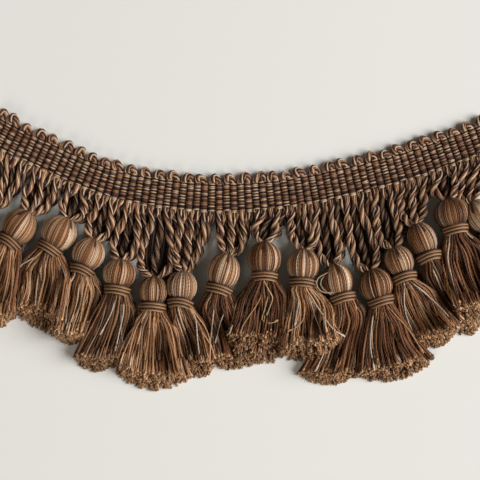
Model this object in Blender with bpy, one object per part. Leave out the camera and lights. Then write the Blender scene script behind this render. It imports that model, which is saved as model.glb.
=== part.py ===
"""Tassel fringe trim, laid flat: a ribbed woven heading with a looped cord along its outer edge,
and sixteen tassels that hang from its inner edge on twisted ropes of yarn.

The trim lies on the floor plane z = 0, face up, in the shallow curve of its photograph.
Lengths are written in millimetres and turned into metres by MM.
"""

import math
from collections import namedtuple

import bmesh
import bpy
import numpy as np
from mathutils import Vector

MM = 0.001

# The heading's middle line as it is laid, in millimetres, from its left cut end to its right
Laid = namedtuple("Laid", "x y")
LAID_LINE = [
    Laid(-112.2, 50.1),
    Laid(-92.1, 40.0),
    Laid(-58.5, 25.7),
    Laid(-25.0, 19.7),
    Laid(0.0, 18.9),
    Laid(27.0, 21.9),
    Laid(54.0, 27.6),
    Laid(81.0, 35.2),
    Laid(118.0, 48.6),
]

# One row for each tassel, in millimetres: root is how far along the heading its ropes start,
# head and neck are the middles of its ball and its binding, end is the tip of its skirt,
# spread is the skirt's half width there, and bow is how far its outer ropes bulge sideways.
# A tassel that lies on top has a third, wider layer of locks over its neighbours' skirts.
Tassel = namedtuple("Tassel", "root head neck end spread bow on_top")
TASSELS = [
    Tassel(20.3, (-113.5, 9.7), (-117.9, 3.5), (-128.5, -31.7), 9.5, 0.0, False),
    Tassel(34.8, (-97.0, 6.7), (-100.3, -0.1), (-110.9, -37.4), 10.0, 0.6, True),
    Tassel(48.9, (-80.8, 4.8), (-82.9, -3.1), (-91.1, -38.7), 10.5, 0.6, True),
    Tassel(61.2, (-66.4, -5.1), (-68.8, -12.3), (-73.9, -44.9), 10.0, 0.0, False),
    Tassel(74.6, (-53.3, -13.9), (-53.7, -21.1), (-62.0, -58.5), 11.5, 0.8, True),
    Tassel(84.6, (-39.0, -21.8), (-38.1, -28.6), (-38.7, -66.4), 14.0, 2.0, True),
    Tassel(100.5, (-25.2, -19.6), (-25.6, -26.8), (-18.9, -59.8), 10.5, 0.4, False),
    Tassel(115.7, (-7.9, -11.9), (-9.0, -20.3), (-4.4, -56.8), 11.0, 0.6, False),
    Tassel(128.1, (10.4, -7.5), (10.8, -15.2), (7.0, -51.9), 12.0, 0.8, True),
    Tassel(142.0, (27.3, -10.1), (27.5, -18.0), (29.9, -51.0), 12.0, 0.4, True),
    Tassel(153.3, (42.9, -16.9), (44.9, -24.6), (39.6, -62.5), 12.0, 0.8, False),
    Tassel(165.7, (59.4, -19.3), (61.4, -26.3), (70.4, -61.2), 15.5, 0.4, True),
    Tassel(179.6, (69.3, -8.9), (71.9, -15.4), (88.0, -46.6), 10.5, 0.0, False),
    Tassel(193.9, (79.4, 0.9), (82.5, -6.5), (99.0, -39.2), 10.0, 0.0, False),
    Tassel(207.5, (91.5, 11.7), (94.4, 5.4), (106.5, -34.3), 12.0, 0.6, True),
    Tassel(220.1, (106.0, 11.4), (109.6, 4.8), (123.2, -31.7), 10.5, 0.0, False),
]

GAP = 0.3 * MM
UP = Vector((0.0, 0.0, 1.0))

# Heading: 72 ribs woven across a band, flat at the back
RIBS = 72
RIB_PITCH = 3.25 * MM
BAND_OUTER = 5.6 * MM
BAND_INNER = 6.3 * MM
LONG_RIB = 0.5 * MM
RIB_CREST = 2.6 * MM
RIB_GROOVE = 1.9 * MM

# Looped cord along the outer edge, one loop for every two ribs
LOOPS = RIBS // 2
CORD_RADIUS = 1.0 * MM
LOOP_RISE = 2.6 * MM
LOOP_LEAN = 0.15
LOOP_STEPS = 6
LOOP_LIFT = 1.6 * MM
LOOP_SWAY = 0.5 * MM

# Ropes between the heading and a tassel
ROPES = 3
ROPE_BROAD = 1.15 * MM
ROPE_NARROW = 0.7 * MM
ROPE_STEP = 2.3 * MM
ROPE_TURN = math.radians(60)
ROPE_START_HEIGHT = 1.5 * MM
ROPE_BEND_HEIGHT = 2.4 * MM
ROPE_STRAIGHT = 3.5 * MM
ROPE_ROOT_SIZE = 0.62
ROPE_SWELL = 0.9
BULGE_TO_KNOT = 0.66
KNOT_WIDTH = 4.8 * MM
KNOT_HEIGHT = 2.4 * MM
KNOT_LENGTH = 2.6 * MM
KNOT_TAPER = 0.45

# Tassel ball and neck. Each ring is a distance towards the ropes from the binding's middle, and a radius
Ring = namedtuple("Ring", "above radius")
NECK_RADIUS = 4.7 * MM
HEAD_RINGS = [
    Ring(-2.2 * MM, NECK_RADIUS),
    Ring(2.2 * MM, NECK_RADIUS),
    Ring(3.6 * MM, 6.2 * MM),
    Ring(7.6 * MM, 6.7 * MM),
    Ring(11.2 * MM, 5.0 * MM),
    Ring(13.4 * MM, 1.4 * MM),
]
AXIS_HEIGHT = 6.1 * MM
BINDING_RADIUS = 5.85 * MM
BINDING_WIDTH = 3.8 * MM
BINDING_SIDES = 12

# Skirt locks, in rows from the floor up. Each row has the height of its underside where it lies,
# and the share of the skirt's length that it reaches
Row = namedtuple("Row", "bottom reach")
ROWS = [Row(0.0, 1.0), Row(2.7 * MM, 0.92), Row(5.7 * MM, 0.8)]
LOCKS_IN_ROW = 5
LOCK_HEIGHT = 2.3 * MM
LOCK_ROOT_WIDTH = 1.7 * MM
LOCK_ROOT_HEIGHT = 2.6 * MM
LOCK_ROOT_SPACING = {2: 3.8 * MM, 3: 2.9 * MM}
LOCK_GAP = 1.3 * GAP
INNER_ROOTS = 0.95

# Stations along a lock: how far it has run, and how much of its root's height it still keeps
Station = namedtuple("Station", "run kept")
LOCK_STATIONS = [Station(0.2, 0.55), Station(0.4, 0.0), Station(1.0, 0.0)]

FINISHES = {
    "heading": ((0.24, 0.13, 0.08, 1.0), 0.8),
    "edge_cord": ((0.34, 0.21, 0.13, 1.0), 0.75),
    "rope": ((0.20, 0.12, 0.08, 1.0), 0.78),
    "tassel": ((0.27, 0.14, 0.07, 1.0), 0.7),
    "binding": ((0.16, 0.08, 0.05, 1.0), 0.65),
}


def finish(name):
    """One plain yarn material for each kind of sub-part."""
    if name in bpy.data.materials:
        return bpy.data.materials[name]
    colour, roughness = FINISHES[name]
    material = bpy.data.materials.new(name)
    material.use_nodes = True
    shader = material.node_tree.nodes["Principled BSDF"]
    shader.inputs["Base Color"].default_value = colour
    shader.inputs["Roughness"].default_value = roughness
    shader.inputs["Metallic"].default_value = 0.0
    material.diffuse_color = colour
    return material


def laid_samples(steps=60):
    """Closely spaced points on a smooth curve through LAID_LINE, and how far along it each one lies."""
    points = [np.array(p) * MM for p in LAID_LINE]
    points = [2 * points[0] - points[1], *points, 2 * points[-1] - points[-2]]
    curve = []
    for before, start, end, after in zip(points, points[1:], points[2:], points[3:]):
        for t in np.arange(steps) / steps:
            pull = (end - before) * t
            bend = (2 * before - 5 * start + 4 * end - after) * t * t
            swing = (3 * start - before - 3 * end + after) * t**3
            curve.append(0.5 * (2 * start + pull + bend + swing))
    curve = np.array(curve)
    steps_along = np.linalg.norm(np.diff(curve, axis=0), axis=1)
    return curve, np.concatenate([[0.0], np.cumsum(steps_along)])


CURVE, ALONG = laid_samples()


def on_line(along, across=0.0, height=0.0):
    """The point so far along the heading's middle line, moved across it towards the fringe."""
    x, y = (np.interp(along, ALONG, CURVE[:, axis]) for axis in (0, 1))
    near = 0.5 * RIB_PITCH
    ahead = [np.interp(along + near, ALONG, CURVE[:, axis]) for axis in (0, 1)]
    behind = [np.interp(along - near, ALONG, CURVE[:, axis]) for axis in (0, 1)]
    run = Vector((ahead[0] - behind[0], ahead[1] - behind[1], 0.0)).normalized()
    inward = Vector((run.y, -run.x, 0.0))
    return Vector((x, y, height)) + across * inward


def flat(point):
    """A table's (x, y) in millimetres as a point on the floor, in metres."""
    return Vector((point[0] * MM, point[1] * MM, 0.0))


def mix(a, b, share):
    return a + (b - a) * share


def add_object(name, mesh, finish_name, smooth=True):
    mesh.materials.append(finish(finish_name))
    if smooth:
        mesh.shade_smooth()
        mesh.set_sharp_from_angle(angle=math.radians(50))
    piece = bpy.data.objects.new(name, mesh)
    bpy.context.scene.collection.children["tassel_fringe_trim"].objects.link(piece)
    return piece


def mesh_from(bm, name):
    bmesh.ops.recalc_face_normals(bm, faces=bm.faces)
    mesh = bpy.data.meshes.new(name)
    bm.to_mesh(mesh)
    bm.free()
    return mesh


def pull_face(bm, face, corners):
    """Extrudes one face and puts its corners at the given points."""
    pulled = bmesh.ops.extrude_discrete_faces(bm, faces=[face])["faces"][0]
    for vert, corner in zip(pulled.verts, corners):
        vert.co = corner
    return pulled


def corner_signs(face, side):
    """For each corner of a face: left or right of its middle, and below or above it."""
    middle = face.calc_center_median()
    offsets = [vert.co - middle for vert in face.verts]
    return [(math.copysign(1.0, o.dot(side)), math.copysign(1.0, o.z)) for o in offsets]


def pull_rim(bm, place):
    """Extrudes the open rim of a mesh and moves each new corner by place(old point)."""
    rim = [edge for edge in bm.edges if edge.is_boundary]
    new = bmesh.ops.extrude_edge_only(bm, edges=rim)["geom"]
    for vert in (item for item in new if isinstance(item, bmesh.types.BMVert)):
        vert.co = place(vert.co.copy())


def close_rim(bm):
    bmesh.ops.holes_fill(bm, edges=[edge for edge in bm.edges if edge.is_boundary], sides=0)


def heading():
    """The woven band: rib after rib, with every second rib a little longer on the fringe side."""
    bm = bmesh.new()
    rib_profile = [(0.0, RIB_GROOVE), (0.3, RIB_CREST), (0.7, RIB_CREST)]
    stations = [(rib, share, top) for rib in range(RIBS) for share, top in rib_profile]
    stations.append((RIBS, 0.0, RIB_GROOVE))
    face = None
    for rib, share, top in stations:
        along = (rib + share) * RIB_PITCH
        inner = BAND_INNER + (LONG_RIB if rib % 2 and share else 0.0)
        corners = [
            on_line(along, -BAND_OUTER, 0.0),
            on_line(along, inner, 0.0),
            on_line(along, inner, top),
            on_line(along, -BAND_OUTER, top),
        ]
        if face is None:
            face = bm.faces.new([bm.verts.new(corner) for corner in corners])
        else:
            face = pull_face(bm, face, corners)
    close_rim(bm)
    add_object("heading", mesh_from(bm, "heading"), "heading", smooth=False)


def edge_cord():
    """One cord that runs along the outer edge in loops, as a curve with a round bevel."""
    curve = bpy.data.curves.new("picot_edge", "CURVE")
    curve.dimensions = "3D"
    curve.bevel_depth = CORD_RADIUS
    curve.bevel_resolution = 1
    curve.use_fill_caps = True
    steps = LOOPS * LOOP_STEPS
    spline = curve.splines.new("POLY")
    spline.points.add(steps)
    loop_pitch = RIBS * RIB_PITCH / LOOPS
    base = BAND_OUTER + GAP + CORD_RADIUS
    for step, point in enumerate(spline.points):
        turn = step / LOOP_STEPS
        along = loop_pitch * (turn + LOOP_LEAN * math.sin(4 * math.pi * turn))
        rise = LOOP_RISE * math.sin(math.pi * turn) ** 2
        lift = LOOP_LIFT + LOOP_SWAY * math.sin(2 * math.pi * turn)
        point.co = (*on_line(along, -base - rise, lift), 1.0)
    loose = bpy.data.objects.new("picot_curve", curve)
    bpy.context.scene.collection.objects.link(loose)
    bpy.context.view_layer.update()
    evaluated = loose.evaluated_get(bpy.context.evaluated_depsgraph_get())
    mesh = bpy.data.meshes.new_from_object(evaluated)
    bpy.data.objects.remove(loose)
    bm = bmesh.new()
    bm.from_mesh(mesh)
    bmesh.ops.remove_doubles(bm, verts=bm.verts, dist=0.01 * MM)
    bpy.data.meshes.remove(mesh)
    add_object("picot_edge", mesh_from(bm, "picot_edge"), "edge_cord")


def share_of_line(index):
    """How much of the heading hangs a tassel: from halfway to each neighbour's root."""
    roots = [tassel.root * MM for tassel in TASSELS]
    roots = [2 * roots[0] - roots[1], *roots, 2 * roots[-1] - roots[-2]]
    before, root, after = roots[index : index + 3]
    return mix(before, root, 0.5), mix(root, after, 0.5)


def knot(bm, foot, up, side):
    """Where a hanger's ropes are gathered over its tassel. Returns the faces that the ropes grow from."""
    bmesh.ops.create_grid(bm, x_segments=ROPES, y_segments=1, size=1.0)
    for vert in bm.verts:
        across, height = vert.co.x * KNOT_WIDTH / 2, vert.co.y * KNOT_HEIGHT / 2
        vert.co = foot + up * KNOT_LENGTH + side * across + UP * height
    roots = sorted(bm.faces, key=lambda face: face.calc_center_median().dot(side))
    pull_rim(bm, lambda point: mix(foot, point - up * KNOT_LENGTH, KNOT_TAPER))
    close_rim(bm)
    return roots


def rope(bm, face, route, bow, side):
    """One flat rope that turns as it runs from the knot, over a bend, to the heading."""
    bottom, bend, top = route
    signs = corner_signs(face, side)
    steps = max(4, round((top - bottom).length / ROPE_STEP))
    for step in range(1, steps + 1):
        share = step / steps
        middle = mix(mix(bottom, bend, share), mix(bend, top, share), share)
        run = mix(bend - bottom, top - bend, share)
        level_side = UP.cross(Vector((run.x, run.y, 0.0))).normalized()
        middle += level_side * bow * math.sin(math.pi * share**BULGE_TO_KNOT)
        size = min(1.0, ROPE_ROOT_SIZE + ROPE_SWELL * share)
        cosine, sine = math.cos(ROPE_TURN * step), math.sin(ROPE_TURN * step)
        corners = []
        for sign_side, sign_up in signs:
            broad, narrow = sign_side * ROPE_BROAD * size, sign_up * ROPE_NARROW * size
            across, height = broad * cosine - narrow * sine, broad * sine + narrow * cosine
            corners.append(middle + level_side * across + UP * height)
        face = pull_face(bm, face, corners)


def hanger(index, tassel):
    """Three twisted ropes that leave the heading's inner edge and meet in a knot over the tassel."""
    head, neck = flat(tassel.head), flat(tassel.neck)
    up = (head - neck).normalized()
    side = UP.cross(up)
    foot = neck + up * (HEAD_RINGS[-1].above + GAP) + UP * AXIS_HEIGHT
    bm = bmesh.new()
    start, end = share_of_line(index)
    edge = BAND_INNER + LONG_RIB + GAP
    for order, face in enumerate(knot(bm, foot, up, side)):
        along = mix(end, start, (order + 0.5) / ROPES)
        top = on_line(along, edge, ROPE_START_HEIGHT)
        bend = on_line(along, edge + ROPE_STRAIGHT, ROPE_BEND_HEIGHT)
        bow = (order - (ROPES - 1) / 2) * tassel.bow * MM
        rope(bm, face, (face.calc_center_median(), bend, top), bow, side)
    add_object(f"hanger_{index + 1:02d}", mesh_from(bm, "hanger"), "rope")


def divider(index, other):
    """The line between two neighbours' skirts: halfway between their necks, and between their tips."""
    a, b = TASSELS[index], TASSELS[other]
    return mix(flat(a.neck), flat(b.neck), 0.5), mix(flat(a.end), flat(b.end), 0.5)


def limit(index, other, along, side, reach):
    """Where a neighbour's divider crosses a skirt's tip, measured sideways from the skirt's middle."""
    neck = flat(TASSELS[index].neck)
    near, far = (point - neck for point in divider(index, other))
    share = (reach - near.dot(along)) / (far - near).dot(along)
    return mix(near, far, share).dot(side)


def row_width(index, level, along, side, reach):
    """The left and right ends of one row of locks at the skirt's tip."""
    tassel = TASSELS[index]
    left, right = -tassel.spread * MM, tassel.spread * MM
    for other in (index - 1, index + 1):
        if not 0 <= other < len(TASSELS):
            continue
        if level == 2 and not TASSELS[other].on_top:
            continue
        place = limit(index, other, along, side, reach)
        if place < 0:
            left = max(left, place + GAP / 2)
        else:
            right = min(right, place - GAP / 2)
    return left, right


def neck_grid(bm, rows, middle, side):
    """The neck's cut face: five locks wide, its rim rounded into a ring. Returns its faces by row."""
    bmesh.ops.create_grid(bm, x_segments=LOCKS_IN_ROW, y_segments=rows, size=1.0)
    rim_count = 2 * (LOCKS_IN_ROW + rows)
    quarter = (LOCKS_IN_ROW / 2) * 2 * math.pi / rim_count
    for vert in bm.verts:
        x, y = vert.co.x, vert.co.y
        if abs(y) > 0.99:
            angle = math.copysign(math.pi / 2, y) - math.copysign(quarter, y) * x
        elif abs(x) > 0.99:
            angle = y * rows / 2 * 2 * math.pi / rim_count
            angle = angle if x > 0 else math.pi - angle
        else:
            angle = None
        if angle is None:
            across, height = x * NECK_RADIUS * INNER_ROOTS, y * NECK_RADIUS
        else:
            across, height = NECK_RADIUS * math.cos(angle), NECK_RADIUS * math.sin(angle)
        vert.co = middle + side * across + Vector((0.0, 0.0, height))
    return list(bm.faces)


def tassel_piece(index, tassel):
    """A ball of yarn with a tied neck, and the locks of its skirt in two or three rows."""
    head, neck, end = flat(tassel.head), flat(tassel.neck), flat(tassel.end)
    up = (head - neck).normalized()
    head_side = UP.cross(-up)
    rows = 3 if tassel.on_top else 2
    bm = bmesh.new()
    axis = neck + Vector((0.0, 0.0, AXIS_HEIGHT))
    lowest = axis + up * HEAD_RINGS[0].above
    roots = neck_grid(bm, rows, lowest, head_side)
    for before, ring in zip(HEAD_RINGS, HEAD_RINGS[1:]):
        old_middle, new_middle = axis + up * before.above, axis + up * ring.above

        def to_ring(point):
            spoke = (point - old_middle).normalized() * ring.radius
            moved = new_middle + spoke
            moved.z = max(moved.z, 0.0)
            return moved

        pull_rim(bm, to_ring)
    close_rim(bm)
    along = (end - neck).normalized()
    side = UP.cross(along)
    length = (end - neck).length
    order = sorted(roots, key=lambda face: (round(face.calc_center_median().z, 4)))
    for level in range(rows):
        row = order[level * LOCKS_IN_ROW : (level + 1) * LOCKS_IN_ROW]
        row.sort(key=lambda face: face.calc_center_median().dot(side))
        reach = length * ROWS[level].reach
        left, right = row_width(index, level, along, side, reach)
        pitch = (right - left) / LOCKS_IN_ROW
        rest = ROWS[level].bottom + LOCK_HEIGHT / 2
        root_height = AXIS_HEIGHT + (level - (rows - 1) / 2) * LOCK_ROOT_SPACING[rows]
        for place, face in enumerate(row):
            tip_side = left + (place + 0.5) * pitch
            lock(bm, face, tip_side, pitch, reach, (rest, root_height), (neck, along, side))
    add_object(f"tassel_{index + 1:02d}", mesh_from(bm, "tassel"), "tassel")


def lock(bm, face, tip_side, pitch, reach, heights, frame):
    """One lock of a skirt: from its root in the neck it falls to its row's height, then lies level."""
    neck, along, side = frame
    signs = corner_signs(face, side)
    root = face.calc_center_median() - neck
    rest, root_height = heights
    for station in LOCK_STATIONS:
        forward = mix(root.dot(along), reach, station.run)
        across = mix(root.dot(side), tip_side, station.run)
        middle = neck + along * forward + side * across + UP * mix(rest, root_height, station.kept)
        half_width = (mix(LOCK_ROOT_WIDTH, pitch, station.run) - LOCK_GAP) / 2
        half_height = mix(LOCK_HEIGHT, LOCK_ROOT_HEIGHT, station.kept) / 2
        face = pull_face(bm, face, [middle + side * a * half_width + UP * b * half_height for a, b in signs])


def binding_mesh():
    """The wrap of thread around a neck: a turned band with a swollen middle, along +Y."""
    inner = (NECK_RADIUS + GAP) / math.cos(math.pi / BINDING_SIDES)
    half = BINDING_WIDTH / 2
    profile = [(inner, -half), (BINDING_RADIUS, -half), (BINDING_RADIUS, half), (inner, half)]
    bm = bmesh.new()
    corners = [bm.verts.new((radius, width, 0.0)) for radius, width in profile]
    edges = [bm.edges.new((a, b)) for a, b in zip(corners, corners[1:] + corners[:1])]
    bmesh.ops.spin(
        bm,
        geom=corners + edges,
        axis=(0.0, 1.0, 0.0),
        cent=(0.0, 0.0, 0.0),
        angle=2 * math.pi,
        steps=BINDING_SIDES,
        use_merge=True,
    )
    bmesh.ops.remove_doubles(bm, verts=bm.verts, dist=0.01 * MM)
    mesh = mesh_from(bm, "binding")
    mesh.shade_smooth()
    mesh.set_sharp_from_angle(angle=math.radians(50))
    return mesh


def bindings():
    mesh = binding_mesh()
    mesh.materials.append(finish("binding"))
    parent = bpy.context.scene.collection.children["tassel_fringe_trim"]
    for index, tassel in enumerate(TASSELS):
        neck, head = flat(tassel.neck), flat(tassel.head)
        up = head - neck
        piece = bpy.data.objects.new(f"binding_{index + 1:02d}", mesh)
        piece.location = neck + Vector((0.0, 0.0, AXIS_HEIGHT))
        piece.rotation_euler.z = math.atan2(up.y, up.x) - math.pi / 2
        parent.objects.link(piece)


def centre_on_floor():
    """Moves every piece so that the origin is the middle of the whole trim's box, on the floor."""
    bpy.context.view_layer.update()
    pieces = bpy.context.scene.collection.children["tassel_fringe_trim"].objects
    corners = [piece.matrix_world @ vert.co for piece in pieces for vert in piece.data.vertices]
    lows = [min(corner[axis] for corner in corners) for axis in range(3)]
    highs = [max(corner[axis] for corner in corners) for axis in range(3)]
    shift = Vector(((lows[0] + highs[0]) / 2, (lows[1] + highs[1]) / 2, lows[2]))
    for piece in pieces:
        piece.location -= shift


def main():
    for piece in list(bpy.data.objects):
        bpy.data.objects.remove(piece)
    collection = bpy.data.collections.new("tassel_fringe_trim")
    bpy.context.scene.collection.children.link(collection)
    heading()
    edge_cord()
    for index, tassel in enumerate(TASSELS):
        hanger(index, tassel)
        tassel_piece(index, tassel)
    bindings()
    centre_on_floor()


main()
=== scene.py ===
import math
from collections import namedtuple

import bpy
import numpy as np
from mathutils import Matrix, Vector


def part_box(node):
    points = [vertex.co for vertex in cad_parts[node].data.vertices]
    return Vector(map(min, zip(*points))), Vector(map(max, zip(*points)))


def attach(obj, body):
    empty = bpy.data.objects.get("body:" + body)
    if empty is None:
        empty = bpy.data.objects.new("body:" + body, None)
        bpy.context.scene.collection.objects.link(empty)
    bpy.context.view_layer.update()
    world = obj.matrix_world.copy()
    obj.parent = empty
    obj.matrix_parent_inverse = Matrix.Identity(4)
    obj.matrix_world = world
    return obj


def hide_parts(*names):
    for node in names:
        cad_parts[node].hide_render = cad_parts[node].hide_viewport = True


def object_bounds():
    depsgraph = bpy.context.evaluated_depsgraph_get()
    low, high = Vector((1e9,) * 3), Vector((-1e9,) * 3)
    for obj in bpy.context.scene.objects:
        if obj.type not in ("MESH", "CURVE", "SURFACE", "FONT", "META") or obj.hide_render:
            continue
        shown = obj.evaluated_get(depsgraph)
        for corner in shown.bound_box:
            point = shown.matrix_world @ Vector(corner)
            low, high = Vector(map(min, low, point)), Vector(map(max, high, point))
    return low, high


bl_info = {
    "name": "Tassel Fringe Trim",
    "version": (1, 0, 0),
    "blender": (4, 5, 0),
    "location": "View3D > Sidebar > Fringe",
    "description": "Builds a tassel fringe trim yarn by yarn: heading, loops, ropes, heads, wraps and skirts",
    "category": "Add Mesh",
}

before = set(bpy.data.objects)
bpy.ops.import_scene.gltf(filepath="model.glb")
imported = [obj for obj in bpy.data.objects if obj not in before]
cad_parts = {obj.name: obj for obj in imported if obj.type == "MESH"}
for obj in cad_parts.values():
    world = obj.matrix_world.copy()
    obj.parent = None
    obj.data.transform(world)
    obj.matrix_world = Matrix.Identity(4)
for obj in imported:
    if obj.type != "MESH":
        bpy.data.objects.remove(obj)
CAD_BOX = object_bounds()

MM = 0.001
UP = np.array([0.0, 0.0, 1.0])

# The heading's middle line as it is laid, in millimetres from the middle of the photograph
LAID_LINE = [
    (-112.2, 50.1), (-92.1, 40.0), (-58.5, 25.7), (-25.0, 19.7), (0.0, 18.9),
    (27.0, 21.9), (54.0, 27.6), (81.0, 35.2), (118.0, 48.6),
]

# One row for each tassel, in millimetres: root is how far along the heading its ropes start, pinch is
# where they gather, width is its ball's and neck is the middle of its wrap. left and right are the
# edges of its skirt from the wrap to the cut ends, crown is how far the cut ends bow out between
# them, and face is how much farther the lowest yarns reach than the top ones.
Tassel = namedtuple("Tassel", "root pinch width neck left right crown face")
TASSELS = [
    Tassel(20.3, (-109.6, 15.1), 14.1, (-117.9, 3.5),
           ((-122.8, 6.2), (-129.4, -5.3), (-134.6, -17.6), (-139.9, -28.2)),
           ((-113.1, 0.0), (-114.0, -7.9), (-116.2, -19.8), (-119.2, -31.7)), 5.3, 7.0),
    Tassel(34.8, (-92.1, 12.8), 15.0, (-100.5, 0.0),
           ((-105.6, 2.6), (-111.3, -8.8), (-116.2, -22.0), (-121.0, -34.3)),
           ((-95.7, -3.3), (-96.1, -10.1), (-98.1, -22.0), (-99.4, -34.8)), 6.2, 6.6),
    Tassel(48.9, (-75.2, 10.1), 15.4, (-82.9, -3.1),
           ((-89.5, -2.6), (-97.7, -12.3), (-99.7, -22.4), (-99.9, -33.0)),
           ((-77.4, -6.2), (-74.4, -14.1), (-75.7, -25.1), (-79.2, -44.0)), 1.3, 8.4),
    Tassel(61.2, (-64.0, 0.9), 14.4, (-68.8, -12.3),
           ((-74.1, -13.5), (-77.0, -21.6), (-79.2, -32.1), (-80.5, -44.4)),
           ((-62.9, -15.4), (-61.4, -22.0), (-64.7, -32.6), (-69.3, -44.9)), 1.8, 5.3),
    Tassel(74.6, (-52.2, -7.9), 14.5, (-53.7, -21.1),
           ((-59.4, -23.1), (-63.5, -32.1), (-68.2, -42.7), (-73.6, -53.2)),
           ((-47.8, -23.3), (-46.6, -30.4), (-49.1, -40.9), (-51.3, -53.7)), 5.3, 6.6),
    Tassel(84.6, (-37.7, -15.7), 13.3, (-38.1, -28.6),
           ((-42.7, -29.9), (-46.6, -37.0), (-50.4, -46.2), (-54.3, -61.0)),
           ((-32.6, -29.9), (-29.0, -37.8), (-26.0, -48.0), (-22.0, -62.3)), 5.2, 6.2),
    Tassel(100.5, (-24.9, -13.2), 13.6, (-26.1, -26.8),
           ((-32.1, -29.5), (-30.4, -36.1), (-27.3, -46.2), (-23.3, -59.8)),
           ((-20.2, -28.8), (-16.3, -37.4), (-12.8, -46.2), (-11.9, -57.6)), 2.6, 7.9),
    Tassel(115.7, (-5.1, -5.7), 14.3, (-9.0, -20.9),
           ((-15.2, -22.2), (-18.3, -30.4), (-15.4, -40.5), (-14.5, -55.9)),
           ((-2.9, -23.6), (0.4, -31.7), (5.3, -41.8), (10.1, -53.7)), 2.6, 5.3),
    Tassel(128.1, (10.6, -0.4), 14.8, (10.8, -15.2),
           ((4.8, -17.3), (-0.2, -26.0), (-2.6, -34.8), (-6.2, -44.4)),
           ((16.4, -16.6), (20.7, -24.6), (20.2, -34.3), (20.2, -52.4)), 6.2, 10.1),
    Tassel(142.0, (28.0, -3.5), 14.1, (27.5, -18.0),
           ((20.5, -20.2), (21.6, -28.6), (20.2, -37.8), (18.2, -52.6)),
           ((33.4, -20.2), (39.4, -27.7), (40.5, -36.5), (43.8, -45.8)), 4.0, 7.9),
    Tassel(153.3, (40.4, -10.3), 13.6, (44.9, -24.6),
           ((40.0, -28.0), (39.2, -37.0), (33.9, -48.0), (26.0, -60.3)),
           ((50.6, -24.2), (54.6, -32.1), (53.7, -45.3), (51.9, -61.6)), 3.5, 5.3),
    Tassel(165.7, (56.9, -12.5), 15.2, (61.6, -26.1),
           ((56.1, -29.3), (54.6, -38.3), (53.0, -48.4), (51.9, -61.6)),
           ((67.5, -27.4), (72.2, -34.8), (76.4, -43.6), (86.7, -54.0)), 4.6, 6.6),
    Tassel(179.6, (67.3, -2.5), 13.2, (71.7, -15.6),
           ((67.7, -18.5), (68.2, -26.4), (73.0, -37.8), (78.8, -48.0)),
           ((76.3, -16.1), (84.0, -21.6), (90.2, -31.2), (97.2, -40.0)), 3.5, 7.0),
    Tassel(193.9, (77.0, 7.9), 12.8, (82.5, -6.5),
           ((79.2, -9.9), (80.1, -17.6), (88.0, -27.7), (97.7, -41.4)),
           ((86.8, -5.1), (92.4, -14.1), (97.7, -24.6), (106.9, -36.1)), 3.5, 7.0),
    Tassel(207.5, (91.1, 18.7), 15.4, (94.4, 5.4),
           ((89.1, 1.6), (88.2, -8.4), (91.1, -19.8), (95.0, -32.6)),
           ((99.7, 4.4), (107.4, -2.6), (112.6, -13.2), (118.8, -25.5)), 5.3, 7.0),
    Tassel(220.1, (101.6, 17.3), 13.6, (109.6, 4.8),
           ((104.7, 1.8), (104.3, -5.3), (108.2, -17.6), (113.1, -32.6)),
           ((114.4, 7.9), (121.0, 0.0), (126.3, -13.2), (132.4, -27.3)), 5.3, 7.0),
]

# The skirts in the order that they are laid, from the lowest to the one that lies on top
LAYING_ORDER = [3, 7, 10, 13, 15, 0, 6, 12, 2, 1, 8, 9, 4, 14, 5, 11]

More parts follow.
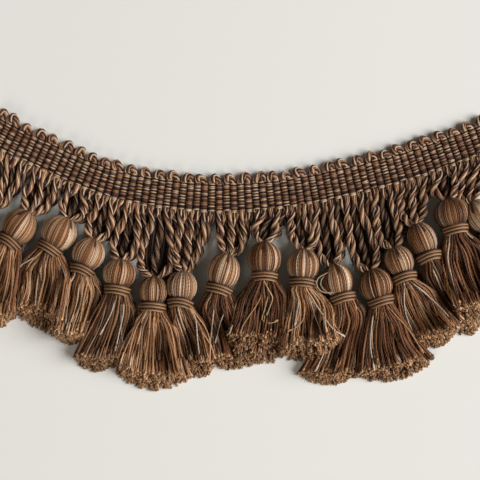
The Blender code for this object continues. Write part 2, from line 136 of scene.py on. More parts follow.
# Yarns that stray over the skirts: the tassel's number, the yarn's tone, the least height it keeps in
# millimetres, and the points that it passes
LOOSE_YARNS = [
    (3, "pale", 0.0, [(-86.0, -5.5), (-91.5, -8.6), (-96.8, -12.3), (-99.4, -21.6)]),
    (3, "grey", 0.0, [(-79.5, -7.0), (-76.0, -16.7), (-75.2, -26.0), (-76.2, -36.6)]),
    (5, "pale", 0.0, [(-53.4, -21.5), (-54.5, -26.5), (-56.5, -32.4), (-61.6, -41.7)]),
    (5, "pale", 0.0, [(-50.6, -25.0), (-51.0, -32.0), (-53.0, -40.2), (-54.5, -48.5)]),
    (5, "grey", 0.0, [(-51.8, -28.0), (-52.2, -40.2), (-50.6, -48.5)]),
    (6, "gold", 0.0, [(-40.5, -27.5), (-43.1, -27.7), (-44.7, -29.6), (-43.9, -32.4)]),
    (7, "pale", 0.0, [(-21.4, -29.0), (-19.2, -35.5), (-18.4, -44.2), (-17.0, -53.2)]),
    (7, "gold", 0.0, [(-23.0, -30.0), (-17.8, -37.0), (-16.0, -42.2), (-13.7, -51.2)]),
    (8, "pale", 0.0, [(-10.2, -21.6), (-10.9, -26.3), (-12.1, -36.3), (-13.4, -48.0)]),
    (8, "pale", 0.0, [(-7.2, -22.0), (-5.4, -26.7), (-8.6, -36.3), (-10.9, -45.2)]),
    (9, "gold", 0.0, [(10.5, -17.2), (8.7, -25.6), (4.3, -32.5), (1.4, -36.9), (0.0, -40.6)]),
    (9, "beige", 0.0, [(9.8, -16.5), (12.4, -21.6), (14.2, -25.3), (13.1, -29.3), (11.6, -33.2)]),
    (9, "beige", 0.0, [(12.0, -17.5), (12.4, -23.4), (10.7, -30.7), (9.6, -34.7), (11.3, -36.2),
                       (14.2, -36.4), (16.7, -35.1)]),
    (10, "pale", 0.0, [(28.3, -20.5), (35.0, -31.0), (40.2, -38.4), (45.8, -42.2)]),
    (10, "pale", 0.0, [(28.6, -20.5), (31.0, -27.4), (33.9, -35.8), (37.9, -45.2)]),
    (10, "pale", 0.0, [(23.6, -20.0), (25.5, -26.7), (24.9, -31.5), (24.0, -37.6)]),
    (10, "beige", 0.0, [(27.7, -20.5), (28.2, -29.6), (27.6, -34.9), (24.8, -38.0), (20.5, -40.0)]),
    (11, "beige", 10.0, [(39.6, -13.6), (36.8, -14.9), (33.9, -16.8), (33.5, -20.0),
                         (36.2, -22.7), (41.3, -22.9)]),
    (11, "pale", 9.0, [(39.0, -14.6), (36.4, -16.2), (35.2, -19.0), (36.6, -21.6), (40.2, -23.8)]),
    (11, "pale", 0.0, [(42.5, -27.5), (42.0, -36.0), (38.0, -47.0), (33.0, -57.5)]),
    (12, "gold", 0.0, [(63.6, -28.2), (68.0, -33.0), (74.0, -39.5), (80.5, -49.6)]),
    (12, "pale", 0.0, [(59.0, -28.6), (57.6, -36.0), (57.0, -46.0), (58.8, -57.0)]),
    (13, "pale", 0.0, [(71.6, -18.4), (71.8, -26.0), (73.4, -34.0), (76.6, -42.4)]),
    (13, "pale", 0.0, [(73.8, -18.0), (80.0, -22.5), (87.0, -29.0), (94.9, -38.4)]),
]

# Sizes of the heading
RIBS = 72
RIB_PITCH = 3.25 * MM
BAND_OUTER = 6.3 * MM
BAND_INNER = 6.3 * MM
THREAD_PITCH = 0.66 * MM
FIRST_THREAD = -6.15 * MM
# Warp threads of odd and of even ribs, from the looped edge to the fringe:
# b beige, t tan, n brown, d dark, m mauve, p pale, and a full stop where no thread shows
WARPS = ("bdbdtdbmtdbdtmtdbdb.", "bdttmmbtdtndttmmtdbp")
WARP_TONES = {"b": "beige", "t": "tan", "n": "brown", "d": "dark", "m": "mauve", "p": "pale"}
# What shows instead where a thread is swapped
SWAPPED = {"b": "t", "t": "b", "m": "n", "n": "m", "d": "m", "p": "b"}

# Sizes that all tassels share
AXIS_HEIGHT = 6.1 * MM
NECK_RADIUS = 4.7 * MM
WRAP_WIDTH = 4.2 * MM
# A head's outline: how far from the wrap to the pinch, and its share of the head's half width
HEAD_OUTLINE = [
    (-0.34, 0.62), (-0.14, 0.64), (0.0, 0.78), (0.1, 0.9), (0.25, 0.98), (0.42, 1.0),
    (0.6, 0.94), (0.76, 0.78), (0.88, 0.56), (0.96, 0.32), (1.02, 0.14),
]


def srgb(red, green, blue):
    """A colour picked on a screen, from 0 to 255, as linear values."""
    levels = np.array([red, green, blue]) / 255.0
    return np.where(levels <= 0.04045, levels / 12.92, ((levels + 0.055) / 1.055) ** 2.4)


# Each part's yarn colours: the heading and the ropes share theirs
CORD = {
    "beige": srgb(202, 171, 139),
    "tan": srgb(160, 116, 84),
    "pale": srgb(214, 190, 162),
    "brown": srgb(96, 60, 44),
    "dark": srgb(53, 28, 30),
    "mauve": srgb(84, 55, 51),
}
BALL = {
    "dark": srgb(46, 27, 20),
    "brown": srgb(92, 55, 33),
    "tan": srgb(148, 99, 62),
    "beige": srgb(202, 160, 120),
    "pale": srgb(232, 216, 196),
}
SKIRT = {
    "ginger": srgb(123, 78, 47),
    "tan": srgb(146, 100, 66),
    "beige": srgb(184, 141, 104),
    "brown": srgb(80, 50, 31),
    "grey": srgb(137, 108, 84),
    "pale": srgb(203, 177, 148),
}
LOOSE = {
    "gold": srgb(178, 134, 94),
    "beige": srgb(200, 168, 130),
    "pale": srgb(206, 192, 176),
    "grey": srgb(150, 134, 116),
}
# The open fibres of a cut end
CUT_END = srgb(182, 142, 104)

# How light each tassel's ball is on average, from dark at 0 to pale at 1
HEAD_TONES = (0.5, 0.56, 0.6, 0.66, 0.55, 0.45, 0.66, 0.64, 0.42, 0.56, 0.5, 0.4, 0.56, 0.51, 0.32, 0.79)
# Each skirt's shares of ginger, tan, beige, brown, grey and pale yarn
DARKEST = (0.4, 0.05, 0.03, 0.49, 0.01, 0.02)
YARN_SHARES = [
    (0.36, 0.27, 0.13, 0.15, 0.05, 0.04),
    (0.28, 0.34, 0.23, 0.07, 0.04, 0.04),
    (0.22, 0.3, 0.28, 0.07, 0.07, 0.06),
    (0.07, 0.2, 0.46, 0.02, 0.1, 0.15),
    (0.22, 0.18, 0.0, 0.34, 0.26, 0.0),
    (0.18, 0.3, 0.34, 0.05, 0.06, 0.07),
    (0.35, 0.24, 0.15, 0.19, 0.04, 0.03),
    (0.33, 0.06, 0.02, 0.55, 0.02, 0.02),
    DARKEST,
    (0.14, 0.3, 0.33, 0.04, 0.1, 0.09),
    (0.36, 0.21, 0.09, 0.26, 0.04, 0.04),
    DARKEST,
    (0.24, 0.3, 0.22, 0.1, 0.07, 0.07),
    (0.2, 0.02, 0.01, 0.75, 0.01, 0.01),
    DARKEST,
    (0.38, 0.1, 0.07, 0.4, 0.02, 0.03),
]


# Curves and directions


def ease(values, start, over):
    """Rises smoothly from 0 at the start to 1 after the given stretch."""
    share = np.clip((values - start) / over, 0.0, 1.0)
    return share * share * (3.0 - 2.0 * share)


def mix(first, second, share):
    return first + (second - first) * share


def unit(vectors):
    return vectors / np.maximum(np.linalg.norm(vectors, axis=-1, keepdims=True), 1e-12)


def frame_shift():
    """From the middle of the photograph to the part's own origin, found from one binding."""
    low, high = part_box("binding_09")
    neck = np.array(TASSELS[8].neck) * MM
    return np.array([(low.x + high.x) / 2 - neck[0], (low.y + high.y) / 2 - neck[1]])


SHIFT = frame_shift()


def placed(points):
    """A table's (x, y) in millimetres as places in the part's plan, in metres."""
    return np.array(points) * MM + SHIFT


def raised(flat, height):
    """Places in plan, lifted to their heights."""
    height = np.broadcast_to(height, flat.shape[:-1])
    return np.concatenate([flat, height[..., None]], axis=-1)


def above_floor(paths, least):
    """Paths that are lifted where they would lie lower than the least height."""
    paths[..., 2] = np.maximum(paths[..., 2], least)
    return paths


def spline(points, shares):
    """Points at the given shares of a smooth curve through a few points."""
    points = np.asarray(points, float)
    points = np.vstack([2 * points[0] - points[1], points, 2 * points[-1] - points[-2]])
    spans = len(points) - 3
    place = np.clip(np.asarray(shares) * spans, 0.0, spans - 1e-9)
    span = place.astype(int)
    part = (place - span)[..., None]
    before, start, end, after = (points[span + step] for step in range(4))
    pull = (end - before) * part
    bend = (2 * before - 5 * start + 4 * end - after) * part * part
    swing = (3 * start - before - 3 * end + after) * part**3
    return 0.5 * (2 * start + pull + bend + swing)


def bezier(start, first, second, end, share):
    """Points of a curve between two ends that two more points draw towards them."""
    share = share[:, None]
    rest = 1.0 - share
    return rest**3 * start + 3 * rest**2 * share * first + 3 * rest * share**2 * second + share**3 * end


def distances(paths):
    """How far along its path each point lies."""
    steps = np.linalg.norm(np.diff(paths, axis=-2), axis=-1)
    return np.concatenate([np.zeros((*steps.shape[:-1], 1)), np.cumsum(steps, axis=-1)], axis=-1)


def square_to(run, up):
    """The two directions square to a path's run: to its side, and up from it."""
    side = unit(np.cross(run, up))
    return side, np.cross(side, run)


def spokes(side, lift, angle):
    """Directions round an axis: to its side at no angle, and up at a quarter turn."""
    return side * np.cos(angle)[..., None] + lift * np.sin(angle)[..., None]


# Points of the heading's middle line
LINE_POINTS = 481
CURVE = spline(placed(LAID_LINE), np.linspace(0.0, 1.0, LINE_POINTS))
ALONG = distances(CURVE)


def on_line(along):
    return np.stack([np.interp(along, ALONG, CURVE[:, axis]) for axis in (0, 1)], axis=-1)


def on_band(along, across, height):
    """Points of the heading: along its middle line, across it towards the fringe, and up."""
    along, across, height = np.broadcast_arrays(along, across, height)
    run = unit(on_line(along + RIB_PITCH / 2) - on_line(along - RIB_PITCH / 2))
    inward = np.stack([run[..., 1], -run[..., 0]], axis=-1)
    return raised(on_line(along) + across[..., None] * inward, height)


# Yarns


class Yarns:
    """Collects lengths of yarn, and makes one mesh of them with a colour and a UV map for each."""

    def __init__(self, seed):
        self.rng = np.random.default_rng(seed)
        self.verts, self.colours, self.quads, self.uvs = [], [], [], []
        self.caps, self.cap_uvs = [], []
        self.count = 0

    def add(self, paths, radii, colours, sides=5, facing=UP, rough=0.0):
        """paths is (yarns, rings, 3); radii, colours and rough fit that. facing tells each ring's up."""
        yarns, rings, _ = paths.shape
        radii = np.broadcast_to(radii, (yarns, rings))[..., None]
        rough = np.broadcast_to(rough, (yarns, rings))[..., None]
        colours = np.broadcast_to(colours, (yarns, rings, 3)).reshape(-1, 3)
        side, lift = square_to(unit(np.gradient(paths, axis=1)), facing)
        spoke = spokes(side[:, :, None], lift[:, :, None], 2 * np.pi * np.arange(sides) / sides)
        reach = radii * (1.0 + rough * self.rng.uniform(-1.0, 1.0, (yarns, rings, sides)))
        self.verts.append((paths[:, :, None] + spoke * reach[..., None]).reshape(-1, 3))
        self.colours.append(np.repeat(colours, sides, axis=0))
        index = self.count + np.arange(yarns * rings * sides).reshape(yarns, rings, sides)
        around = np.roll(index, -1, axis=2)
        quads = np.stack([index[:, :-1], index[:, 1:], around[:, 1:], around[:, :-1]], axis=-1)
        self.quads.append(quads.reshape(-1, 4))
        self.caps.append(np.concatenate([index[:, 0], index[:, -1, ::-1]]))
        self.add_uvs(distances(paths) / MM + self.rng.uniform(0.0, 50.0, (yarns, 1)), sides)
        self.count += yarns * rings * sides

    def add_uvs(self, length, sides):
        """The UV map runs once round a yarn, and along it in millimetres."""
        step = 1.0 / sides
        turn, near = np.broadcast_arrays(np.arange(sides) / sides, length[:, :-1, None])
        far = np.broadcast_to(length[:, 1:, None], turn.shape)
        corners = [(turn, near), (turn, far), (turn + step, far), (turn + step, near)]
        self.uvs.append(np.stack([np.stack(corner, axis=-1) for corner in corners], axis=-2).reshape(-1, 2))
        ends = np.repeat(np.concatenate([length[:, 0], length[:, -1]]), sides)
        self.cap_uvs.append(np.stack([np.zeros(len(ends)), ends], axis=-1))

    def piece(self, name, material, slot, *nodes):
        """The finished object, which rides on the part in place of the named CAD nodes."""
        mesh = bpy.data.meshes.new(name)
        verts = np.concatenate(self.verts)
        faces = [np.concatenate(self.quads), *self.caps]
        corners = np.concatenate([face.ravel() for face in faces])
        sizes = np.concatenate([np.full(len(face), face.shape[1]) for face in faces])
        mesh.vertices.add(len(verts))
        mesh.vertices.foreach_set("co", verts.astype(np.float32).ravel())
        mesh.loops.add(len(corners))
        mesh.loops.foreach_set("vertex_index", corners.astype(np.int32))
        mesh.polygons.add(len(sizes))
        starts = np.concatenate([[0], np.cumsum(sizes)[:-1]])
        mesh.polygons.foreach_set("loop_start", starts.astype(np.int32))
        uvs = np.concatenate([*self.uvs, *self.cap_uvs])
        mesh.uv_layers.new(name="yarn").uv.foreach_set("vector", uvs.astype(np.float32).ravel())
        colours = np.ones((len(verts), 4), np.float32)
        colours[:, :3] = np.concatenate(self.colours)
        layer = mesh.color_attributes.new("yarn_colour", "FLOAT_COLOR", "POINT")
        layer.data.foreach_set("color", colours.ravel())
        mesh.update(calc_edges=True)
        mesh.shade_smooth()
        return finished(name, mesh, material, slot, *nodes)


def finished(name, mesh, material, slot, *nodes):
    mesh.materials.append(material)
    piece = bpy.data.objects.new(name, mesh)
    bpy.context.scene.collection.objects.link(piece)
    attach(piece, "root")
    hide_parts(*nodes)
    return piece


def toned(rng, palette, names, jitter):
    """One colour for each name, each a little lighter or darker than the yarn's own."""
    colours = np.array([palette[name] for name in names])
    return colours * (1.0 + jitter * rng.uniform(-1.0, 1.0, (len(names), 1)))


# Materials

# Each yarn's finish: its plies and the millimetres in which they turn once, how dark the painted shade
# in the grooves between them is and how strong the fibres look, its roughness and sheen, and how deep its
# relief is
Finish = namedtuple("Finish", "plies ply_length groove fibre roughness sheen relief")
FINISHES = {
    "heading_yarn": Finish(2, 1.3, 0.25, 0.2, 0.6, 0.1, 0.08 * MM),
    "edge_yarn": Finish(2, 1.4, 0.3, 0.2, 0.6, 0.1, 0.08 * MM),
    "rope_yarn": Finish(4, 9.0, 0.45, 0.25, 0.6, 0.1, 0.1 * MM),
    "head_yarn": Finish(2, 1.6, 0.25, 0.2, 0.45, 0.12, 0.08 * MM),
    "wrap_thread": Finish(2, 1.2, 0.2, 0.15, 0.45, 0.1, 0.06 * MM),
    "skirt_yarn": Finish(2, 2.0, 0.3, 0.25, 0.6, 0.12, 0.12 * MM),
}


def add_node(tree, kind, inputs, **settings):
    """A new node. Each of the inputs is a value, or another node's output to link."""
    node = tree.nodes.new(kind)
    for name, value in settings.items():
        setattr(node, name, value)
    for name, value in inputs.items():
        if isinstance(value, bpy.types.NodeSocket):
            tree.links.new(value, node.inputs[name])
        else:
            node.inputs[name].default_value = value
    return node


def maths(tree, operation, *values):
    return add_node(tree, "ShaderNodeMath", dict(enumerate(values)), operation=operation).outputs[0]


def uv_parts(tree, layer):
    """A UV map, and its two parts on their own."""
    uv = add_node(tree, "ShaderNodeUVMap", {}, uv_map=layer).outputs["UV"]
    split = add_node(tree, "ShaderNodeSeparateXYZ", {0: uv})
    return uv, split.outputs["X"], split.outputs["Y"]


def ramped(tree, share, *stops):
    """A colour that changes with a share, between two places that each have a colour."""
    ramp = add_node(tree, "ShaderNodeValToRGB", {"Fac": share})
    for element, (place, colour) in zip(ramp.color_ramp.elements, stops):
        element.position = place
        element.color = (*colour, 1.0)
    return ramp.outputs["Color"]


def new_material(name, inputs):
    """A material whose shader has the given inputs, its node tree and its shader."""
    material = bpy.data.materials.new(name)
    material.use_nodes = True
    shader = material.node_tree.nodes["Principled BSDF"]
    for title, value in inputs.items():
        shader.inputs[title].default_value = value
    return material, material.node_tree, shader


def plied_yarn():
    """Shared effect: plies that twist round a yarn, with painted shade in the grooves between them, and its
    fine fibres.
    """
    if "Plied yarn" in bpy.data.node_groups:
        return bpy.data.node_groups["Plied yarn"]
    group = bpy.data.node_groups.new("Plied yarn", "ShaderNodeTree")
    face = group.interface
    face.new_socket(name="Yarn colour", in_out="INPUT", socket_type="NodeSocketColor")
    for name, default in (("Plies", 2.0), ("Ply length", 2.0), ("Groove", 0.4), ("Fibre", 0.2)):
        face.new_socket(name=name, in_out="INPUT", socket_type="NodeSocketFloat").default_value = default
    face.new_socket(name="Colour", in_out="OUTPUT", socket_type="NodeSocketColor")
    face.new_socket(name="Height", in_out="OUTPUT", socket_type="NodeSocketFloat")
    given = group.nodes.new("NodeGroupInput").outputs
    _, around, along = uv_parts(group, "yarn")
    turn = maths(group, "MULTIPLY", around, given["Plies"])
    turn = maths(group, "ADD", turn, maths(group, "DIVIDE", along, given["Ply length"]))
    ply = maths(group, "ABSOLUTE", maths(group, "SINE", maths(group, "MULTIPLY", turn, math.pi)))
    # Fibres are drawn out along the yarn
    wide, long = maths(group, "MULTIPLY", around, 9.0), maths(group, "MULTIPLY", along, 1.6)
    stretch = add_node(group, "ShaderNodeCombineXYZ", {"X": wide, "Y": long}).outputs[0]
    fibres = add_node(group, "ShaderNodeTexNoise", {"Vector": stretch, "Scale": 1.0, "Detail": 3.0})
    speckle = maths(group, "SUBTRACT", fibres.outputs["Fac"], 0.5)
    speckle = maths(group, "MULTIPLY", speckle, given["Fibre"])
    # Painted shade: the yarn's colour darkens in the grooves between its plies, and the fibres speckle it
    shade = maths(group, "SUBTRACT", 1.0, given["Groove"])
    shade = maths(group, "ADD", shade, maths(group, "MULTIPLY", ply, given["Groove"]))
    shade = maths(group, "ADD", shade, maths(group, "MULTIPLY", speckle, 2.0))
    colour = {0: given["Yarn colour"], "Scale": shade}
    tint = add_node(group, "ShaderNodeVectorMath", colour, operation="SCALE").outputs[0]
    add_node(group, "NodeGroupOutput", {"Colour": tint, "Height": maths(group, "ADD", ply, speckle)})
    return group


def yarn_material(name):
    """A spun yarn's finish, coloured yarn by yarn."""
    finish = FINISHES[name]
    surface = {
        "Roughness": finish.roughness,
        "Specular IOR Level": 0.22,
        "Sheen Weight": finish.sheen,
        "Sheen Roughness": 0.4,
        "Sheen Tint": (1.0, 0.86, 0.72, 1.0),
    }
    material, tree, shader = new_material(name, surface)
    colour = add_node(tree, "ShaderNodeAttribute", {}, attribute_name="yarn_colour")
    spin = {
        "Yarn colour": colour.outputs["Color"],
        "Plies": finish.plies,
        "Ply length": finish.ply_length,
        "Groove": finish.groove,
        "Fibre": finish.fibre,
    }
    yarn = add_node(tree, "ShaderNodeGroup", spin, node_tree=plied_yarn())
    relief = {"Height": yarn.outputs["Height"], "Distance": finish.relief, "Strength": 0.7}
    bump = add_node(tree, "ShaderNodeBump", relief)
    tree.links.new(yarn.outputs["Colour"], shader.inputs["Base Color"])
    tree.links.new(bump.outputs["Normal"], shader.inputs["Normal"])
    return material


def cloth_material():
    """Dark warp threads in narrow rows, pressed into ribs."""
    material, tree, shader = new_material("heading_ground", {"Roughness": 0.85})
    uv, across, along = uv_parts(tree, "weave")
    row = maths(tree, "SINE", maths(tree, "MULTIPLY", across, math.pi * MM / THREAD_PITCH))
    rib = maths(tree, "SINE", maths(tree, "MULTIPLY", along, math.pi * MM / RIB_PITCH))
    speckle = add_node(tree, "ShaderNodeTexNoise", {"Vector": uv, "Scale": 1.3})
    # The ground is the dark and brown yarns darkened further: partly its own dark weave, partly painted shade
    # between the ribs' threads
    stops = (0.4, CORD["dark"] * 0.5), (0.75, CORD["brown"] * 0.6)
    tree.links.new(ramped(tree, speckle.outputs["Fac"], *stops), shader.inputs["Base Color"])
    height = maths(tree, "ADD", maths(tree, "ABSOLUTE", row), maths(tree, "ABSOLUTE", rib))
    bump = add_node(tree, "ShaderNodeBump", {"Height": height, "Distance": 0.2 * MM})
    tree.links.new(bump.outputs["Normal"], shader.inputs["Normal"])
    return material


def floor_material(colour):
    """A pale matt floor with a very fine grain."""
    material, tree, shader = new_material("pale_floor", {"Roughness": 0.9, "Specular IOR Level": 0.1})
    place = add_node(tree, "ShaderNodeTexCoord", {}).outputs["Object"]
    grain = add_node(tree, "ShaderNodeTexNoise", {"Vector": place, "Scale": 900.0})
    stops = (0.0, [0.985 * value for value in colour]), (1.0, colour)
    tree.links.new(ramped(tree, grain.outputs["Fac"], *stops), shader.inputs["Base Color"])
    return material


# Heading

# The ground's top over one rib: shares of the rib's width, and heights
RIB_TOP = [(0.0, 1.0 * MM), (0.3, 1.6 * MM), (0.7, 1.6 * MM)]


def heading_cloth():
    """The dark ground that the warp threads float over: a closed ribbed sheet with a flat back."""
    stations = [((rib + share) * RIB_PITCH, top) for rib in range(RIBS) for share, top in RIB_TOP]
    stations.append((RIBS * RIB_PITCH, RIB_TOP[0][1]))
    along, top = np.array(stations).T[..., None]
    across = np.linspace(-BAND_OUTER, BAND_INNER, 7)
    rings = np.concatenate([on_band(along, across, top), on_band(along, across[::-1], 0.0)], axis=1)
    count, size, _ = rings.shape
    index = np.arange(count * size).reshape(count, size)
    around = np.roll(index, -1, axis=1)
    quads = np.stack([index[:-1], around[:-1], around[1:], index[1:]], axis=-1).reshape(-1, 4)
    mesh = bpy.data.meshes.new("heading_cloth")
    faces = [*quads.tolist(), index[0][::-1].tolist(), index[-1].tolist()]
    mesh.from_pydata(rings.reshape(-1, 3).tolist(), [], faces)
    across_all = np.concatenate([across, across[::-1]])
    spot = np.stack(np.broadcast_arrays(across_all, along), axis=-1).reshape(-1, 2) / MM
    corners = np.zeros(len(mesh.loops), np.int32)
    mesh.loops.foreach_get("vertex_index", corners)
    layer = mesh.uv_layers.new(name="weave")
    layer.uv.foreach_set("vector", spot[corners].astype(np.float32).ravel())
    mesh.update()
    return finished("heading_cloth", mesh, cloth_material(), "heading", "heading")


def warp_threads(rng, swap_share):
    """The rib, the row and the tone of every warp thread."""
    threads = []
    for rib in range(RIBS):
        pattern = WARPS[rib % 2]
        # The rows between the heading's edges shift a little from rib to rib
        inner = np.roll(list(pattern[3:-3]), rng.integers(-1, 2))
        for row, letter in enumerate([*pattern[:3], *inner, *pattern[-3:]]):
            if letter != ".":
                letter = SWAPPED[letter] if rng.random() < swap_share else letter
                threads.append((rib, row, WARP_TONES[letter]))
    ribs, rows, names = zip(*threads)
    return np.array(ribs), np.array(rows), names


def heading_floats(settings):
    """Warp threads: each arches over one rib and dives into the grooves beside it."""
    yarns = Yarns(11)
    rng = yarns.rng
    ribs, rows, names = warp_threads(rng, settings.swap_share)
    count = len(ribs)
    light = np.array([name != "dark" for name in names])[:, None]
    swing = np.linspace(-1.0, 1.0, settings.float_rings)
    arch = 1.0 - np.abs(swing) ** 2.1
    along = (ribs[:, None] + 0.5 + 0.5 * swing) * RIB_PITCH
    slant = rng.normal(0.0, 0.07, (count, 1)) * MM
    # Odd and even ribs, each whole rib and each thread are set off by a share of the pitch
    offset = np.where(ribs % 2 == 0, -0.3, 0.1) + rng.normal(0.0, 0.16, RIBS)[ribs]
    offset = offset[:, None] + rng.normal(0.0, 0.08, (count, 1))
    across = FIRST_THREAD + (rows[:, None] + offset) * THREAD_PITCH + slant * swing
    # Dark threads lie lower and are thinner than light ones
    crest = settings.float_height + np.where(light, 0.12, -0.12) * MM
    crest = crest + rng.normal(0.0, 0.06, (count, 1)) * MM
    height = mix(settings.groove_height, crest, arch)
    radius = settings.float_radius * np.where(light, 1.0, 0.85) * (0.72 + 0.28 * arch)
    # Painted shade: each thread darkens towards its ends, where it dives into the grooves between the ribs
    shade = 0.22 + 0.78 * arch**0.8
    colours = toned(rng, CORD, names, 0.14)[:, None] * shade[:, None]
    yarns.add(on_band(along, across, height), radius, colours, sides=4)
    return yarns.piece("heading_floats", yarn_material("heading_yarn"), "heading", "heading")


# Looped edge

# One loop of the cord: shares of its pitch along the heading, and millimetres across it
LOOP_ROUTE = [(-0.5, -4.4), (-0.26, -5.6), (-0.25, -7.3), (0.0, -8.9), (0.25, -7.3), (0.26, -5.6)]
LOOP_PITCH = 2 * RIB_PITCH
LOOPS = RIBS // 2
LOOP_YARNS = ["beige", "dark", "tan", "beige", "mauve", "tan", "dark"]
# Where a loop comes free of the heading, in millimetres across it, and how far it then stands out
LOOP_FREE = -6.0
LOOP_DEPTH = 3.0
# How far out from the heading's middle line the cord begins to rise, and over how far
RISE_START = 5.4 * MM
RISE_LENGTH = 1.8 * MM
# How high the cord's middle lies under the heading's edge, how much higher it is in the loops, and
# how far a loop's two halves lie above and below that
LOOP_LOW = 0.4 * MM
LOOP_RISE = 1.55 * MM
LOOP_CROSSING = 0.35 * MM
# From the cord's middle to its outer yarns' middles, to its side and up
CORD_WIDE = 1.0 * MM
CORD_HIGH = 0.78 * MM


def loop_route(rng):
    """The cord's way along and across the heading, with loops that are not quite alike."""
    route = []
    for loop in range(LOOPS):
        wide, tall, lean = rng.normal(1.0, 0.1), 1.1 * rng.normal(1.0, 0.15), rng.normal(0.0, 0.11)
        for share, across in LOOP_ROUTE:
            free = max(0.0, LOOP_FREE - across)
            along = loop + 0.5 + share * wide + lean * free * tall / LOOP_DEPTH
            route.append((along * LOOP_PITCH, (across + free - free * tall) * MM))
    route.append((LOOPS * LOOP_PITCH, LOOP_ROUTE[0][1] * MM))
    return route


def looped_edge(settings):
    """A cord of beige, tan and dark yarns that loops out from under the heading's outer edge."""
    yarns = Yarns(12)
    turn = np.linspace(0.0, 1.0, LOOPS * settings.loop_steps + 1)
    along, across = spline(loop_route(yarns.rng), turn).T
    out = ease(-across, RISE_START, RISE_LENGTH)
    height = LOOP_LOW + out * (LOOP_RISE + LOOP_CROSSING * np.sin(2 * np.pi * LOOPS * turn))
    centre = on_band(along, across, height)
    side, lift = square_to(unit(np.gradient(centre, axis=0)), UP)
    colours = toned(yarns.rng, CORD, LOOP_YARNS, 0.1) * 0.9
    for yarn, colour in enumerate(colours):
        spin = 2 * np.pi * (yarn / len(colours) + distances(centre) / settings.loop_twist)
        path = centre + spokes(side * CORD_WIDE, lift * CORD_HIGH, spin)
        yarns.add(above_floor(path, settings.loop_yarn)[None], settings.loop_yarn, colour, sides=4)
    return yarns.piece("looped_edge", yarn_material("edge_yarn"), "edge_cord", "picot_edge")


# Ropes

# How far to each side a tassel's ropes stand just above its pinch, in millimetres
SPREADS = [4.0, 4.4, 4.2, 3.8, 4.4, 6.6, 3.4, 3.8, 3.8, 3.8, 4.0, 4.4, 4.2, 4.2, 4.2, 4.0]
# The fewest rings of points along a rope
LEAST_RINGS = 12
# How far inside the heading's inner edge a leg starts
LEG_START = 1.0 * MM
# The six yarns of a leg: across and up in its flat start, in millimetres, and their angle in the ply
LEG_YARNS = [
    (-1.1, 0.0, 180), (-0.38, 0.15, 120), (0.38, 0.15, 60),
    (1.1, 0.0, 0), (0.7, -0.5, -60), (-0.7, -0.5, -120),
]
LEG_TONES = ["beige", "tan", "dark", "beige", "brown", "tan"]
# The length over which a leg's yarns turn once round it
PLY_TWIST = 21.0 * MM
# How far from its start a leg begins to gather into a ply, to join the other one and to twist
GATHER_START = 1.2 * MM
GATHER_LENGTH = 2.2 * MM
JOIN_START = 2.4 * MM
JOIN_LENGTH = 3.4 * MM
TWIST_START = 3.2 * MM
# The last stretch, over which a rope is drawn tight, and how far beyond the pinch it ends
TIGHT_LENGTH = 3.5 * MM
PAST_PINCH = 0.8 * MM
CORE_RADIUS = 0.95 * MM
# How much of the straight way to its end a rope follows when it leaves the heading: the rest is
# square to the heading. Its bend begins and ends so far from its ends, as shares of the way.
STRAIGHT_SHARE = 0.85
FIRST_BEND = 0.42
LAST_BEND = 0.35
LONGEST_BEND = 4.5 * MM

# The two rows of ropes, the back one first. first is the middle of a row's first rope, in shares of
# one rope's width of heading, gather is how far apart its ropes end, heights are those of a rope's
# middle in millimetres at the shares of its length in HEIGHT_PLACES, shade is how light its yarns
# look, and coarse is how much farther apart its rings of points are. The back row's shade is painted
# shade: its yarns are darkened to half because they lie under the front row.
HEIGHT_PLACES = [0.0, 0.08, 0.3, 0.7, 1.0]
Row = namedtuple("Row", "first gather heights shade coarse")
ROWS = [
    Row(1.0, 0.7, (0.8, 2.0, 2.2, 2.8, 5.2), 0.5, 1.35),
    Row(0.5, 1.0, (0.8, 2.5, 3.9, 5.3, 7.0), 1.05, 1.0),
]


def rib_middles(index):
    """How far along the heading the ribs lie whose yarns hang a tassel: up to halfway to its neighbours."""
    roots = np.array([tassel.root for tassel in TASSELS]) * MM
    borders = np.array([0.0, *(roots[1:] + roots[:-1]) / 2, RIBS * RIB_PITCH])
    middles = (np.arange(RIBS) + 0.5) * RIB_PITCH
    return middles[(middles >= borders[index]) & (middles < borders[index + 1])]


def rope_route(legs, tassel, spread, wide):
    """Four points in plan for a rope's bend, from inside the heading's edge to just past the pinch."""
    pinch, neck = placed(tassel.pinch), placed(tassel.neck)
    down = unit(neck - pinch)
    level = np.array([-down[1], down[0]])
    middle = (legs[0] + legs[1]) / 2
    top = on_band(middle, BAND_INNER - LEG_START, 0.0)[:2]
    inward = unit(on_band(middle, BAND_INNER + LEG_START, 0.0)[:2] - top)
    foot = pinch + level * spread * MM + down * PAST_PINCH
    reach = np.linalg.norm(foot - top)
    first = top + FIRST_BEND * mix(inward * reach, foot - top, STRAIGHT_SHARE)
    second = pinch - down * min(LONGEST_BEND, LAST_BEND * reach) + level * spread * 2.0 * wide * MM
    return top, first, second, foot


